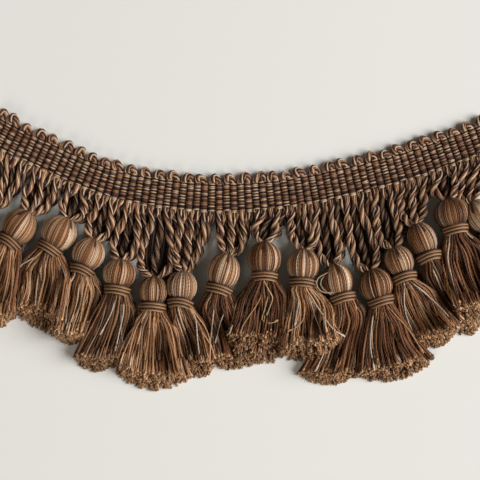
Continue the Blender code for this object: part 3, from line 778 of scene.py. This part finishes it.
def rope(yarns, legs, tassel, spread, wide, row, settings):
    """Two flat legs of yarn that leave the heading, twist round each other and gather at the pinch."""
    rng = yarns.rng
    route = rope_route(legs, tassel, spread, wide)
    length = distances(bezier(*route, np.linspace(0.0, 1.0, 60)))[-1]
    rings = max(LEAST_RINGS, round(length / (settings.rope_step * row.coarse)))
    share = np.linspace(0.0, 1.0, rings)
    height = (np.interp(share, HEIGHT_PLACES, row.heights) + rng.normal(0.0, 0.1)) * MM
    centre = raised(bezier(*route, share), height)
    run = unit(np.gradient(centre, axis=0))
    side = unit(np.cross(UP, run * [1.0, 1.0, 0.0]))
    far = share * length
    join = ease(far, JOIN_START, JOIN_LENGTH)
    gather = ease(far, GATHER_START, GATHER_LENGTH)[:, None]
    tight = 1.0 - 0.4 * ease(far, length - TIGHT_LENGTH, TIGHT_LENGTH)
    # The twist is mirrored between the two halves of the trim
    hand = 2 * np.pi * (1.0 if tassel.neck[0] > 0.0 else -1.0)
    turn = hand * np.maximum(0.0, far - TWIST_START) / (settings.rope_pitch * rng.uniform(0.8, 1.3))
    sway = rng.normal(0.0, 0.35) * MM * np.sin(2 * np.pi * share) * np.sin(np.pi * share)
    centre = centre + side * sway[:, None]
    # A dark core along the rope's middle, darkened further: painted shade that fills the gaps between its
    # legs
    yarns.add(centre[None], CORE_RADIUS * tight * (0.3 + 0.7 * join), CORD["dark"] * 0.6, sides=6)
    for leg in legs:
        apart = np.dot(on_band(leg, BAND_INNER - LEG_START, 0.0)[:2] - route[0], side[0, :2])
        twisted = spokes(side, UP, turn + (0.0 if apart > 0.0 else np.pi))
        twisted = twisted * (settings.ply_offset * tight)[:, None]
        middle = centre + mix(side * apart, twisted, join[:, None])
        # row.shade darkens the back row's yarns as painted shade
        colours = toned(rng, CORD, np.roll(LEG_TONES, rng.integers(6)), 0.2) * row.shade
        for colour, (across, up, degrees) in zip(colours, LEG_YARNS):
            spin = math.radians(degrees) + turn / 1.2 + hand * far / PLY_TWIST
            ring = spokes(side, UP, spin) * (settings.ply_radius * tight)[:, None]
            ribbon = (side * across + UP * up) * MM
            path = above_floor(middle + mix(ribbon, ring, gather), settings.rope_yarn)
            yarns.add(path[None], settings.rope_yarn, colour, sides=4)


def tassel_ropes(index, settings, material):
    """The ropes of one tassel: a row in front and a row below and between them."""
    yarns = Yarns(100 + index)
    middles = rib_middles(index)
    width = len(middles) * RIB_PITCH
    ropes = max(2, round(len(middles) / 2 + 0.3))
    half = width / ropes / 4
    for row in ROWS:
        for place in range(ropes):
            share = (place + row.first) / ropes
            centre = middles[0] - RIB_PITCH / 2 + share * width
            spread = (2 * share - 1.0) * ropes / (ropes - 1) * row.gather
            rope(yarns, (centre - half, centre + half), TASSELS[index], spread, SPREADS[index], row, settings)
    add_under_yarns(yarns, index, middles)
    return yarns.piece(f"ropes_{index + 1:02d}", material, "rope", f"hanger_{index + 1:02d}")


def add_under_yarns(yarns, index, middles):
    """Dark yarns on the floor under the ropes: painted shade, their colour halved, that darkens the gaps
    between the ropes.
    """
    rng = yarns.rng
    share = np.linspace(0.0, 1.0, 9)
    height = np.interp(share, [0.0, 0.4, 0.75, 1.0], [1.2, 0.8, 2.2, 4.8]) * MM
    for start in np.linspace(middles[0] - RIB_PITCH / 2, middles[-1] + RIB_PITCH / 2, 2 * len(middles) + 1):
        spread = 2 * (start - middles[0]) / max(RIB_PITCH, middles[-1] - middles[0]) - 1.0
        route = rope_route((start, start), TASSELS[index], 0.7 * spread, SPREADS[index] * 0.8)
        flat = bezier(*route, share) + rng.normal(0.0, 0.35, (1, 2)) * MM * np.sin(np.pi * share)[:, None]
        tone = rng.choice(["dark", "brown", "mauve"])
        # Painted shade: the yarn's colour is halved
        yarns.add(raised(flat, height)[None], rng.uniform(0.5, 0.75) * MM, CORD[tone] * 0.5, sides=4)


# Heads

# The share of a full turn that a head's yarns cover, open at the back
COVERED_SHARE = 0.64
# How deep and, as an angle, how wide the crease in each ball is
CREASE_DEPTH = 0.8 * MM
CREASE_WIDTH = 0.14
# How far the dark yarns lie below the light ones
DARK_SUNK = 0.22 * MM
# How far the core lies inside the yarns' middles, and its least radius
CORE_DEPTH = 0.15 * MM
CORE_LEAST = 0.2 * MM
# Patches of light and dark round a ball
STREAKS = 26


def tassel_axis(index):
    """Where a tassel's neck and pinch are in plan, the way up from one to the other, and its side."""
    neck, pinch = placed(TASSELS[index].neck), placed(TASSELS[index].pinch)
    up = unit(pinch - neck)
    return neck, pinch, up, np.array([up[1], -up[0]])


def ball_colours(rng, count, tone):
    """Colours round a ball, from dark to pale: they drift in streaks and change from yarn to yarn."""
    drift = np.interp(np.arange(count), np.linspace(0, count, STREAKS), rng.uniform(-0.22, 0.22, STREAKS))
    share = tone + drift + rng.normal(0.0, 0.23, count)
    share = np.clip(share + tone - share.mean(), 0.0, 1.0)
    ramp = np.array(list(BALL.values()))
    steps = np.linspace(0.0, 1.0, len(ramp))
    colours = np.stack([np.interp(share, steps, channel) for channel in ramp.T], axis=1)
    return colours, share < 0.2


def tassel_head(index, settings, material):
    """A ball of yarns that run from the pinch over a dark core and into the wrap."""
    yarns = Yarns(200 + index)
    rng = yarns.rng
    neck, pinch, up, side = tassel_axis(index)
    start = neck + up * WRAP_WIDTH / 2
    share, widths = np.array(HEAD_OUTLINE).T
    half = TASSELS[index].width / 2 * MM - settings.head_yarn
    middles = raised(start + up * (share * np.linalg.norm(pinch - start))[:, None], AXIS_HEIGHT)
    count = settings.head_yarns
    places = (np.arange(count) + rng.normal(0.0, 0.12, count)) / count - 0.5
    angle = np.pi / 2 + 2 * np.pi * COVERED_SHARE * places
    lean = (rng.normal(0.0, 0.14) + 0.03 * np.sin(3 * angle))[:, None] * share
    spoke = spokes(raised(side, 0.0), UP, angle[:, None] + lean)
    sunk = rng.normal(0.0, 0.08, (count, 1)) * MM
    tones, dark = ball_colours(rng, count, HEAD_TONES[index])
    sunk = sunk - DARK_SUNK * dark[:, None]
    crease = np.pi / 2 + rng.normal(0.0, 0.35)
    dent = np.exp(-(((angle - crease) / CREASE_WIDTH) ** 2))[:, None] * ease(share, 0.45, 0.35)
    reach = half * widths - CREASE_DEPTH * dent * np.minimum(1.0, 2.0 * widths)
    reach = reach + sunk * np.clip(widths * 1.4 - 0.2, 0.0, 1.0)
    paths = above_floor(middles + spoke * reach[..., None], settings.head_yarn)
    crowd = np.minimum(1.0, 1.25 * np.pi * COVERED_SHARE * reach / count / settings.head_yarn)
    # Painted shade and highlight along the ball: darker towards the wrap and the pinch, lighter round its
    # widest part
    shade = np.interp(share, [0.0, 0.12, 0.5, 0.85, 1.02], [0.6, 0.95, 1.1, 0.85, 0.4])
    # Painted shade: the yarns are darker towards the ball's sides, where it curves down
    side_shade = mix(0.42, 1.0, ease(np.sin(angle), -0.3, 1.1))
    colours = (tones * side_shade[:, None])[:, None] * shade[:, None]
    yarns.add(paths, settings.head_yarn * crowd, colours, sides=4, facing=spoke)
    core_radius = np.clip(half * widths - CORE_DEPTH, CORE_LEAST, AXIS_HEIGHT)
    yarns.add(middles[None], core_radius, BALL["brown"] * 0.6, sides=24)
    return yarns.piece(f"head_{index + 1:02d}", material, "tassel", f"tassel_{index + 1:02d}")


# Wraps

WRAP_TONES = ["beige", "tan", "dark"]
# Rings of points along one turn of thread
TURN_RINGS = 30
# How far the sides of a wrap lie below its front, at least and at most
DROOP = (0.7 * MM, 1.6 * MM)


def tassel_wrap(index, settings, material):
    """Two light threads and a dark one wound side by side round the neck."""
    yarns = Yarns(300 + index)
    rng = yarns.rng
    neck, _, up, side = tassel_axis(index)
    rows, strands = settings.wrap_rows, len(WRAP_TONES)
    pitch = WRAP_WIDTH / rows
    share = np.linspace(0.0, 1.0, round(rows / strands * TURN_RINGS) + 1)
    colours = toned(rng, BALL, WRAP_TONES, 0.12) * 0.62
    # The ends of the threads are hidden underneath
    start_angle = -np.pi / 2 + rng.normal(0.0, 0.2)
    droop = rng.uniform(*DROOP)
    angle = start_angle + 2 * np.pi * rows / strands * share
    spoke = spokes(raised(side, 0.0), UP, angle)
    for strand, colour in enumerate(colours):
        shift = (strand + rows * share - (rows + strands - 1) / 2) * pitch
        shift = shift + 0.16 * pitch * np.sin(angle / 2.7 + start_angle) - droop * np.cos(angle) ** 2
        radius = settings.wrap_radius * (1.0 - 0.09 * (2 * shift / WRAP_WIDTH) ** 2)
        path = raised(neck + up * shift[:, None], AXIS_HEIGHT) + spoke * radius[:, None]
        path = above_floor(path, settings.wrap_thread)
        yarns.add(path[None], settings.wrap_thread, colour, sides=5, facing=spoke)
    return yarns.piece(f"wrap_{index + 1:02d}", material, "binding", f"binding_{index + 1:02d}")


# Skirts

# Where a skirt yarn's rings of points lie, as shares of its length: the last three are its cut end
RINGS = np.array([*np.linspace(0.0, 0.965, 13), 0.984, 0.999, 1.006])
# The rings' thickness, how rough they are and how much of the cut fibres' colour they show
THICKNESS = np.array([0.7] + [1.0] * 12 + [1.2, 1.55, 1.0])
ROUGHNESS = np.array([0.0] * 13 + [0.15, 0.3, 0.4])
FIBRES = np.array([0.0] * 13 + [0.4, 0.7, 0.8])
# Which of the rings are made for a yarn of which only the end shows, and for one that lies deep
SHORT_RINGS = [0, 6, 12, 13, 14, 15]
DEEP_RINGS = [0, 1, 2, 4, 6, 9, 12, 13, 14, 15]
# Where the yarns of which only the ends are made start, as a share of the skirt's length
SHORT_START = 0.74
# The spread between a skirt's outer cut ends that has the usual number of yarns
USUAL_SPREAD = 26.0 * MM
# How far from the neck's middle the outermost yarns lie, as a share of its radius
ROOT_SHARE = 0.92
# The turn from one yarn to the next that fills the round neck evenly, in radians
GOLDEN_ANGLE = 2.39996
# The tufts that a skirt's cut ends stand in
TUFTS_ACROSS = 15
TUFTS_UP = 8
# Points along a yarn that is laid on the pile, whole or short, and how many of a whole one's first
# points lie in the neck and carry nothing
LAID_POINTS = 64
SHORT_POINTS = 24
NECK_POINTS = 8
# Over how many points to each side the pile below a yarn, and then the yarn itself, are smoothed
REST_SMOOTHING = 4
YARN_SMOOTHING = 2
# A loose yarn's rings of points, how far from the neck it comes down to rest, and the smoothing of
# the pile below it
LOOSE_RINGS = 18
LOOSE_REST = 12.0 * MM
LOOSE_SMOOTHING = 3

# A skirt's yarns, from the lowest: root is where each passes through the neck, level how high it
# lies, tuft how light its tuft is, short whether only its end is made, run the shares of the
# skirt's length at its rings, and flat the rings in plan.
Skirt = namedtuple("Skirt", "root level tuft short run flat")


class Pile:
    """How high the yarns already laid reach, over a grid of the floor."""

    CELL = 0.6 * MM
    MARGIN = 10 * MM

    def __init__(self, low, high):
        self.low = np.array(low) - self.MARGIN
        size = np.ceil((np.array(high) + self.MARGIN - self.low) / self.CELL).astype(int)
        self.top = np.zeros(size)

    def cells(self, flat):
        spot = np.clip(((flat - self.low) / self.CELL).astype(int), 1, np.array(self.top.shape) - 2)
        return spot[:, 0], spot[:, 1]

    def height(self, flat):
        """The highest of each point's cell and the cells to its left and right."""
        x, y = self.cells(flat)
        return np.maximum.reduce([self.top[x, y], self.top[x - 1, y], self.top[x + 1, y]])

    def add(self, flat, top):
        np.maximum.at(self.top, self.cells(flat), top)


def smoothed(values, reach):
    """A line of values, each blended with so many of its neighbours on each side."""
    padded = np.pad(values, reach, mode="edge")
    kernel = np.hanning(2 * reach + 3)[1:-1]
    return np.convolve(padded, kernel / kernel.sum(), mode="valid")


def skirt_roots(rng, count):
    """Where each yarn passes through the neck, as shares of its radius, from the lowest to the highest."""
    disc = np.sqrt((np.arange(count) + 0.5) / count)
    golden = np.arange(count) * GOLDEN_ANGLE + rng.uniform(0.0, 2 * np.pi)
    root = np.stack([disc * np.cos(golden), disc * np.sin(golden)])
    return root[:, np.argsort(root[1] + rng.normal(0.0, 0.12, count))]


def skirt_ends(rng, face, place, level):
    """How light each yarn's tuft is, and where the yarn ends, as a share of the skirt's length."""
    tufts = (TUFTS_ACROSS + 1) * TUFTS_UP
    tuft = (np.floor(place * TUFTS_ACROSS) * TUFTS_UP + np.floor(level * TUFTS_UP)).astype(int)
    light = rng.uniform(0.6, 1.5, tufts)[tuft]
    uneven = rng.normal(0.0, 0.008, tufts)[tuft] * level
    uneven = uneven + rng.normal(0.0, 0.007, len(place)) * (0.5 + level)
    # The face that the cut ends make slopes less at the skirt's edges
    inward = 1.0 - 0.4 * np.abs(2 * place - 1.0) ** 3
    return light, 1.0 - face * level**0.8 * inward + uneven


def skirt_spots(rng, root, place, run):
    """How far across the skirt each ring lies, from 0 at its left edge to 1 at its right edge."""
    count = len(place)
    # Yarns clump together in a coarse and a fine rhythm, and some stray from their place
    coarse, fine, _ = rng.uniform(0.0, 2 * np.pi, 3)
    clump = 0.014 * np.sin(2 * np.pi * 6 * place + coarse) + 0.01 * np.sin(2 * np.pi * 13 * place + fine)
    stray = np.where(rng.random(count) < 0.14, 0.15, 0.03) * rng.normal(0.0, 1.0, count)
    spot = place[:, None] + (clump + stray)[:, None] * run - 0.5
    # Near the neck they lie as they pass through it
    spot = mix(root[:, None] * 0.48, spot, ease(run, 0.0, 0.4))
    return np.clip(spot, -0.53, 0.53) + 0.5


def skirt_wander(rng, run, wave):
    """How far each ring is off its yarn's smooth way: a slow wave, and a splay at the cut end."""
    count = len(run)
    aside = rng.normal(0.0, wave, (count, 1)) * ease(run, 0.0, 0.25)
    aside = aside * np.sin(2 * np.pi * (rng.uniform(0.8, 1.7, (count, 1)) * run + rng.random((count, 1))))
    aside[:, -3:] += np.outer(rng.normal(0.0, 0.3, count) * MM, [0.3, 0.8, 1.0])
    return aside


def skirt_plan(rng, index, settings):
    """How the yarns of one skirt lie in plan, between the skirt's edges and down to its cut ends."""
    tassel = TASSELS[index]
    neck, _, _, side = tassel_axis(index)
    left, right = placed(tassel.left), placed(tassel.right)
    tip_middle = (left[-1] + right[-1]) / 2
    crown = tassel.crown * MM
    length = np.linalg.norm(tip_middle - neck) + crown
    spread = np.linalg.norm(right[-1] - left[-1])
    count = round(settings.skirt_yarns * (0.55 + 0.45 * spread / USUAL_SPREAD))
    root = skirt_roots(rng, count)
    level = np.linspace(0.0, 1.0, count)
    order = np.argsort(np.argsort(root[0] + rng.normal(0.0, 0.05, count)))
    place = (order + 0.5) / count
    # Some yarns lie so deep that only their cut ends show, so only those are made
    short = rng.random(count) < settings.short_share
    begin = np.where(short, SHORT_START, 0.0)[:, None]
    tuft, finish = skirt_ends(rng, tassel.face * MM / length, place, level)
    run = begin + (finish[:, None] - begin) * RINGS
    spot = skirt_spots(rng, root[0], place, run)
    left_edge, right_edge = spline(left, run), spline(right, run)
    across = unit(right_edge - left_edge)
    bow = crown * run**2 * np.clip(1.0 - (2 * spot - 1) ** 2, 0.0, 1.0)
    flat = mix(left_edge, right_edge, spot[..., None]) + unit(tip_middle - neck) * bow[..., None]
    flat = flat + across * skirt_wander(rng, run, settings.wave)[..., None]
    inside = neck + side * (root[0] * NECK_RADIUS * ROOT_SHARE)[:, None] * np.sign(np.dot(side, across[0, 0]))
    flat[~short, 0] = inside[~short]
    return Skirt(root, level, tuft, short, run, flat)


def laid_heights(skirt, radius, settings, pile):
    """How high each yarn's rings lie: from the neck, the yarn comes down to rest on the pile."""
    neck_height = AXIS_HEIGHT + skirt.root[1] * NECK_RADIUS * ROOT_SHARE
    height = np.zeros(skirt.run.shape)
    for yarn, run in enumerate(skirt.run):
        short = skirt.short[yarn]
        fine_run = np.linspace(run[0], run[-1], SHORT_POINTS if short else LAID_POINTS)
        path = np.stack([np.interp(fine_run, run, skirt.flat[yarn, :, axis]) for axis in (0, 1)], axis=-1)
        rest = smoothed(pile.height(path), REST_SMOOTHING) + radius[yarn]
        line = mix(neck_height[yarn], rest, ease(fine_run, 0.0, settings.settle))
        line = smoothed(line, YARN_SMOOTHING)
        skip = 0 if short else NECK_POINTS
        pile.add(path[skip:], line[skip:] + (settings.packing - 1.0) * radius[yarn])
        height[yarn] = np.interp(run, fine_run, line)
    height[~skirt.short, 0] = neck_height[~skirt.short]
    return height


def skirt_colours(rng, index, skirt):
    """Each yarn's colour at its rings: its own, and that of open fibres at the cut end."""
    count = len(skirt.level)
    names = rng.choice(list(SKIRT), count, p=YARN_SHARES[index])
    own = toned(rng, SKIRT, names, 0.16)[:, None]
    # Painted shade and light at the cut ends: lower yarns' ends are darker and higher ones' lighter; the
    # tufts and each yarn also vary at random
    light = skirt.tuft * rng.uniform(0.35, 1.4, count) * (0.75 + 0.5 * skirt.level)
    return mix(own, CUT_END * light[:, None, None], FIBRES[:, None])


def tassel_skirt(index, settings, material, pile):
    """The cut yarns below the wrap, laid one by one on what already lies there."""
    yarns = Yarns(400 + index)
    rng = yarns.rng
    skirt = skirt_plan(rng, index, settings)
    radius = settings.skirt_yarn * rng.uniform(0.85, 1.15, len(skirt.level))[:, None]
    paths = raised(skirt.flat, laid_heights(skirt, radius[:, 0], settings, pile))
    paths = above_floor(paths, radius * THICKNESS * (1.0 + ROUGHNESS))
    colours = skirt_colours(rng, index, skirt)
    deep = ~skirt.short & (skirt.level < settings.hidden_share)
    seen = ~skirt.short & ~deep
    for group, rings in ((skirt.short, SHORT_RINGS), (deep, DEEP_RINGS), (seen, range(len(RINGS)))):
        chosen = np.ix_(group, rings)
        thickness = (radius * THICKNESS)[chosen]
        yarns.add(paths[chosen], thickness, colours[chosen], sides=4, rough=ROUGHNESS[list(rings)])
    add_loose_yarns(yarns, index, settings, pile)
    return yarns.piece(f"skirt_{index + 1:02d}", material, "tassel", f"tassel_{index + 1:02d}")


def add_loose_yarns(yarns, index, settings, pile):
    """The yarns that stray over a skirt, laid on top of it."""
    neck, _, _, _ = tassel_axis(index)
    for number, tone, lowest, points in LOOSE_YARNS:
        if number != index + 1:
            continue
        path = spline(placed(points), np.linspace(0.0, 1.0, LOOSE_RINGS))
        near = 1.0 - ease(np.linalg.norm(path - neck, axis=1), 0.0, LOOSE_REST)
        rest = smoothed(pile.height(path), LOOSE_SMOOTHING) + settings.skirt_yarn
        height = np.maximum(mix(rest, AXIS_HEIGHT + NECK_RADIUS, near), np.maximum(rest, lowest * MM))
        thickness = np.array([0.5, *[0.85] * (LOOSE_RINGS - 3), 1.6, 1.1])
        path = raised(path, smoothed(height, YARN_SMOOTHING))
        yarns.add(path[None], settings.skirt_yarn * thickness, LOOSE[tone] * 0.9, sides=5)


# Settings


def length_of(name, description, default):
    return bpy.props.FloatProperty(
        name=name, description=description, default=default, unit="LENGTH", precision=5)


def share_of(name, description, default, least=0.0, most=1.0):
    return bpy.props.FloatProperty(
        name=name, description=description, default=default, min=least, max=most, subtype="FACTOR")


def number_of(name, description, default, least):
    return bpy.props.IntProperty(name=name, description=description, default=default, min=least)


class FringeSettings(bpy.types.PropertyGroup):
    """Sizes of the trim's yarns."""

    float_radius: length_of("Warp thread radius", "Half the thickness of a thread over a rib", 0.34 * MM)
    float_height: length_of("Rib height", "How high a warp thread's middle arches over its rib", 2.3 * MM)
    groove_height: length_of("Groove height", "How low a warp thread dives between two ribs", 1.15 * MM)
    swap_share: share_of("Swapped share", "Share of warp threads whose colour isn't their row's", 0.2)
    float_rings: number_of("Rings a thread", "Rings of points along each warp thread", 7, 4)
    loop_twist: length_of("Loop twist", "Length of one full twist of the looped cord", 9.5 * MM)
    loop_yarn: length_of("Loop yarn radius", "Half the thickness of one yarn of the looped cord", 0.43 * MM)
    loop_steps: number_of("Points a loop", "Points along each loop's middle line", 24, 8)
    rope_pitch: length_of("Rope pitch", "Length of one full twist of a rope", 13.5 * MM)
    ply_offset: length_of("Ply offset", "How far a ply's middle lies from its rope's middle", 0.92 * MM)
    ply_radius: length_of("Ply radius", "How far a ply's yarns lie from the ply's middle", 0.66 * MM)
    rope_step: length_of("Rope step", "Distance between the rings of points along a rope", 0.85 * MM)
    rope_yarn: length_of("Rope yarn radius", "Half the thickness of one yarn of a rope", 0.4 * MM)
    head_yarns: number_of("Yarns a head", "Yarns that run over each tassel's ball", 78, 12)
    head_yarn: length_of("Head yarn radius", "Half the thickness of a yarn on a ball", 0.25 * MM)
    wrap_rows: number_of("Rows of a wrap", "Rows of thread side by side round a neck", 9, 3)
    wrap_radius: length_of("Wrap radius", "Distance of the wrap's threads from the neck's middle", 5.8 * MM)
    wrap_thread: length_of("Wrap thread radius", "Half the thickness of a thread of the wrap", 0.34 * MM)
    skirt_yarns: number_of("Yarns a skirt", "Cut yarns in a skirt of usual width", 410, 20)
    short_share: share_of("Short share", "Share of yarns of which only the cut ends are made", 0.48, most=0.9)
    hidden_share: share_of("Hidden share", "Share of yarns, from the lowest, that are made coarser", 0.42)
    packing: share_of("Packing", "How much of its radius a yarn lies above the ones below it", 0.62)
    skirt_yarn: length_of("Skirt yarn radius", "Half the thickness of a cut yarn", 0.37 * MM)
    wave: length_of("Wave", "How far a cut yarn wanders to either side", 0.6 * MM)
    settle: share_of("Settling", "Share of a skirt over which its yarns come down to rest", 0.42, least=0.1)


class StageSettings(bpy.types.PropertyGroup):
    """The floor, the lights and the camera."""

    floor_colour: bpy.props.FloatVectorProperty(
        name="Floor colour", description="Colour of the pale floor", size=3, subtype="COLOR",
        default=(0.803, 0.804, 0.781), min=0.0, max=1.0)
    key_power: bpy.props.FloatProperty(
        name="Key light", description="Power of the soft light from the right",
        default=290.0, unit="POWER")
    second_power: bpy.props.FloatProperty(
        name="Second light", description="Power of the weaker soft light from the lower left",
        default=52.0, unit="POWER")
    fill: bpy.props.FloatProperty(
        name="Fill light", description="Strength of the even light from all round", default=0.11, min=0.0)
    view_width: length_of("View width", "Width that the camera sees just above the floor", 211.2 * MM)
    lens: bpy.props.FloatProperty(name="Lens", description="Focal length in millimetres", default=85.0)


# Stage

# Half the floor's width and how far off the lights are, in metres, and the camera's sensor in millimetres
FLOOR_REACH = 3.0
LIGHT_DISTANCE = 4.2
CAMERA_SENSOR = 36.0
# How far above the floor the camera's view is as wide as the settings say
VIEW_HEIGHT = 5.0 * MM


def add_floor(colour):
    mesh = bpy.data.meshes.new("floor")
    corners = [(-1, -1), (1, -1), (1, 1), (-1, 1)]
    mesh.from_pydata([(x * FLOOR_REACH, y * FLOOR_REACH, 0.0) for x, y in corners], [], [(0, 1, 2, 3)])
    mesh.materials.append(floor_material(colour))
    floor = bpy.data.objects.new("floor", mesh)
    bpy.context.scene.collection.objects.link(floor)


def add_soft_light(name, towards, size, power, colour):
    """A round soft light that faces the trim from some way off."""
    light = bpy.data.lights.new(name, "AREA")
    light.shape = "DISK"
    light.size = size
    light.energy = power
    light.color = colour
    lamp = bpy.data.objects.new(name, light)
    lamp.location = unit(np.array(towards)) * LIGHT_DISTANCE
    lamp.rotation_euler = lamp.location.to_track_quat("Z", "Y").to_euler()
    bpy.context.scene.collection.objects.link(lamp)


def add_fill(strength):
    """Warm even light from all round, as in a pale room."""
    world = bpy.data.worlds.new("studio")
    world.use_nodes = True
    background = world.node_tree.nodes["Background"]
    background.inputs["Color"].default_value = (1.0, 0.86, 0.7, 1.0)
    background.inputs["Strength"].default_value = strength
    bpy.context.scene.world = world


def add_camera(lens, view_width):
    """A camera that looks straight down on the middle of the photograph."""
    view = bpy.data.cameras.new("camera")
    view.lens = lens
    view.sensor_width = CAMERA_SENSOR
    view.clip_start = 0.01
    camera = bpy.data.objects.new("camera", view)
    camera.location = (*SHIFT, view_width * lens / CAMERA_SENSOR + VIEW_HEIGHT)
    bpy.context.scene.collection.objects.link(camera)
    bpy.context.scene.camera = camera


# Operators


class FRINGE_OT_heading(bpy.types.Operator):
    """Weaves the ribbed heading"""

    bl_idname = "fringe.heading"
    bl_label = "Weave Heading"

    def execute(self, context):
        cloth = heading_cloth()
        floats = heading_floats(context.scene.fringe)
        edge = looped_edge(context.scene.fringe)
        return {"FINISHED"}


class FRINGE_OT_ropes(bpy.types.Operator):
    """Twists the ropes that hang each tassel"""

    bl_idname = "fringe.ropes"
    bl_label = "Twist Ropes"

    def execute(self, context):
        material = yarn_material("rope_yarn")
        for index in range(len(TASSELS)):
            tassel_ropes(index, context.scene.fringe, material)
        return {"FINISHED"}


class FRINGE_OT_heads(bpy.types.Operator):
    """Makes the balls of yarn at the top of the tassels"""

    bl_idname = "fringe.heads"
    bl_label = "Make Heads"

    def execute(self, context):
        material = yarn_material("head_yarn")
        for index in range(len(TASSELS)):
            tassel_head(index, context.scene.fringe, material)
        return {"FINISHED"}


class FRINGE_OT_wraps(bpy.types.Operator):
    """Winds the threads round the tassels' necks"""

    bl_idname = "fringe.wraps"
    bl_label = "Wind Wraps"

    def execute(self, context):
        material = yarn_material("wrap_thread")
        for index in range(len(TASSELS)):
            tassel_wrap(index, context.scene.fringe, material)
        return {"FINISHED"}


class FRINGE_OT_skirts(bpy.types.Operator):
    """Lays the cut yarns of the skirts over each other"""

    bl_idname = "fringe.skirts"
    bl_label = "Lay Skirts"

    def execute(self, context):
        material = yarn_material("skirt_yarn")
        low, high = CAD_BOX
        pile = Pile((low.x, low.y), (high.x, high.y))
        for index in LAYING_ORDER:
            tassel_skirt(index, context.scene.fringe, material, pile)
        return {"FINISHED"}


class FRINGE_OT_stage(bpy.types.Operator):
    """Sets the floor, the soft studio light and the camera"""

    bl_idname = "fringe.stage"
    bl_label = "Set Stage"

    def execute(self, context):
        stage = context.scene.fringe_stage
        add_floor(stage.floor_colour)
        add_soft_light("key_light", (0.95, 0.0, 0.6), 3.5, stage.key_power, (1.0, 0.998, 0.985))
        add_soft_light("second_light", (-0.5, -0.8, 0.45), 2.4, stage.second_power, (1.0, 0.94, 0.86))
        add_fill(stage.fill)
        add_camera(stage.lens, stage.view_width)
        context.scene.view_settings.view_transform = "Standard"
        return {"FINISHED"}


class FRINGE_PT_panel(bpy.types.Panel):
    """Buttons and sizes of the fringe"""

    bl_label = "Tassel Fringe Trim"
    bl_idname = "FRINGE_PT_panel"
    bl_space_type = "VIEW_3D"
    bl_region_type = "UI"
    bl_category = "Fringe"

    def draw(self, context):
        for operator in OPERATORS:
            self.layout.operator(operator.bl_idname)
        for settings in (context.scene.fringe, context.scene.fringe_stage):
            box = self.layout.box()
            for name in settings.__annotations__:
                box.prop(settings, name)


OPERATORS = (
    FRINGE_OT_heading,
    FRINGE_OT_ropes,
    FRINGE_OT_heads,
    FRINGE_OT_wraps,
    FRINGE_OT_skirts,
    FRINGE_OT_stage,
)
CLASSES = (FringeSettings, StageSettings, *OPERATORS, FRINGE_PT_panel)


def register():
    for item in CLASSES:
        bpy.utils.register_class(item)
    bpy.types.Scene.fringe = bpy.props.PointerProperty(type=FringeSettings)
    bpy.types.Scene.fringe_stage = bpy.props.PointerProperty(type=StageSettings)


def unregister():
    del bpy.types.Scene.fringe_stage
    del bpy.types.Scene.fringe
    for item in reversed(CLASSES):
        bpy.utils.unregister_class(item)


def main():
    register()
    bpy.ops.fringe.heading()
    bpy.ops.fringe.ropes()
    bpy.ops.fringe.heads()
    bpy.ops.fringe.wraps()
    bpy.ops.fringe.skirts()
    bpy.ops.fringe.stage()


if __name__ == "__main__":
    main()
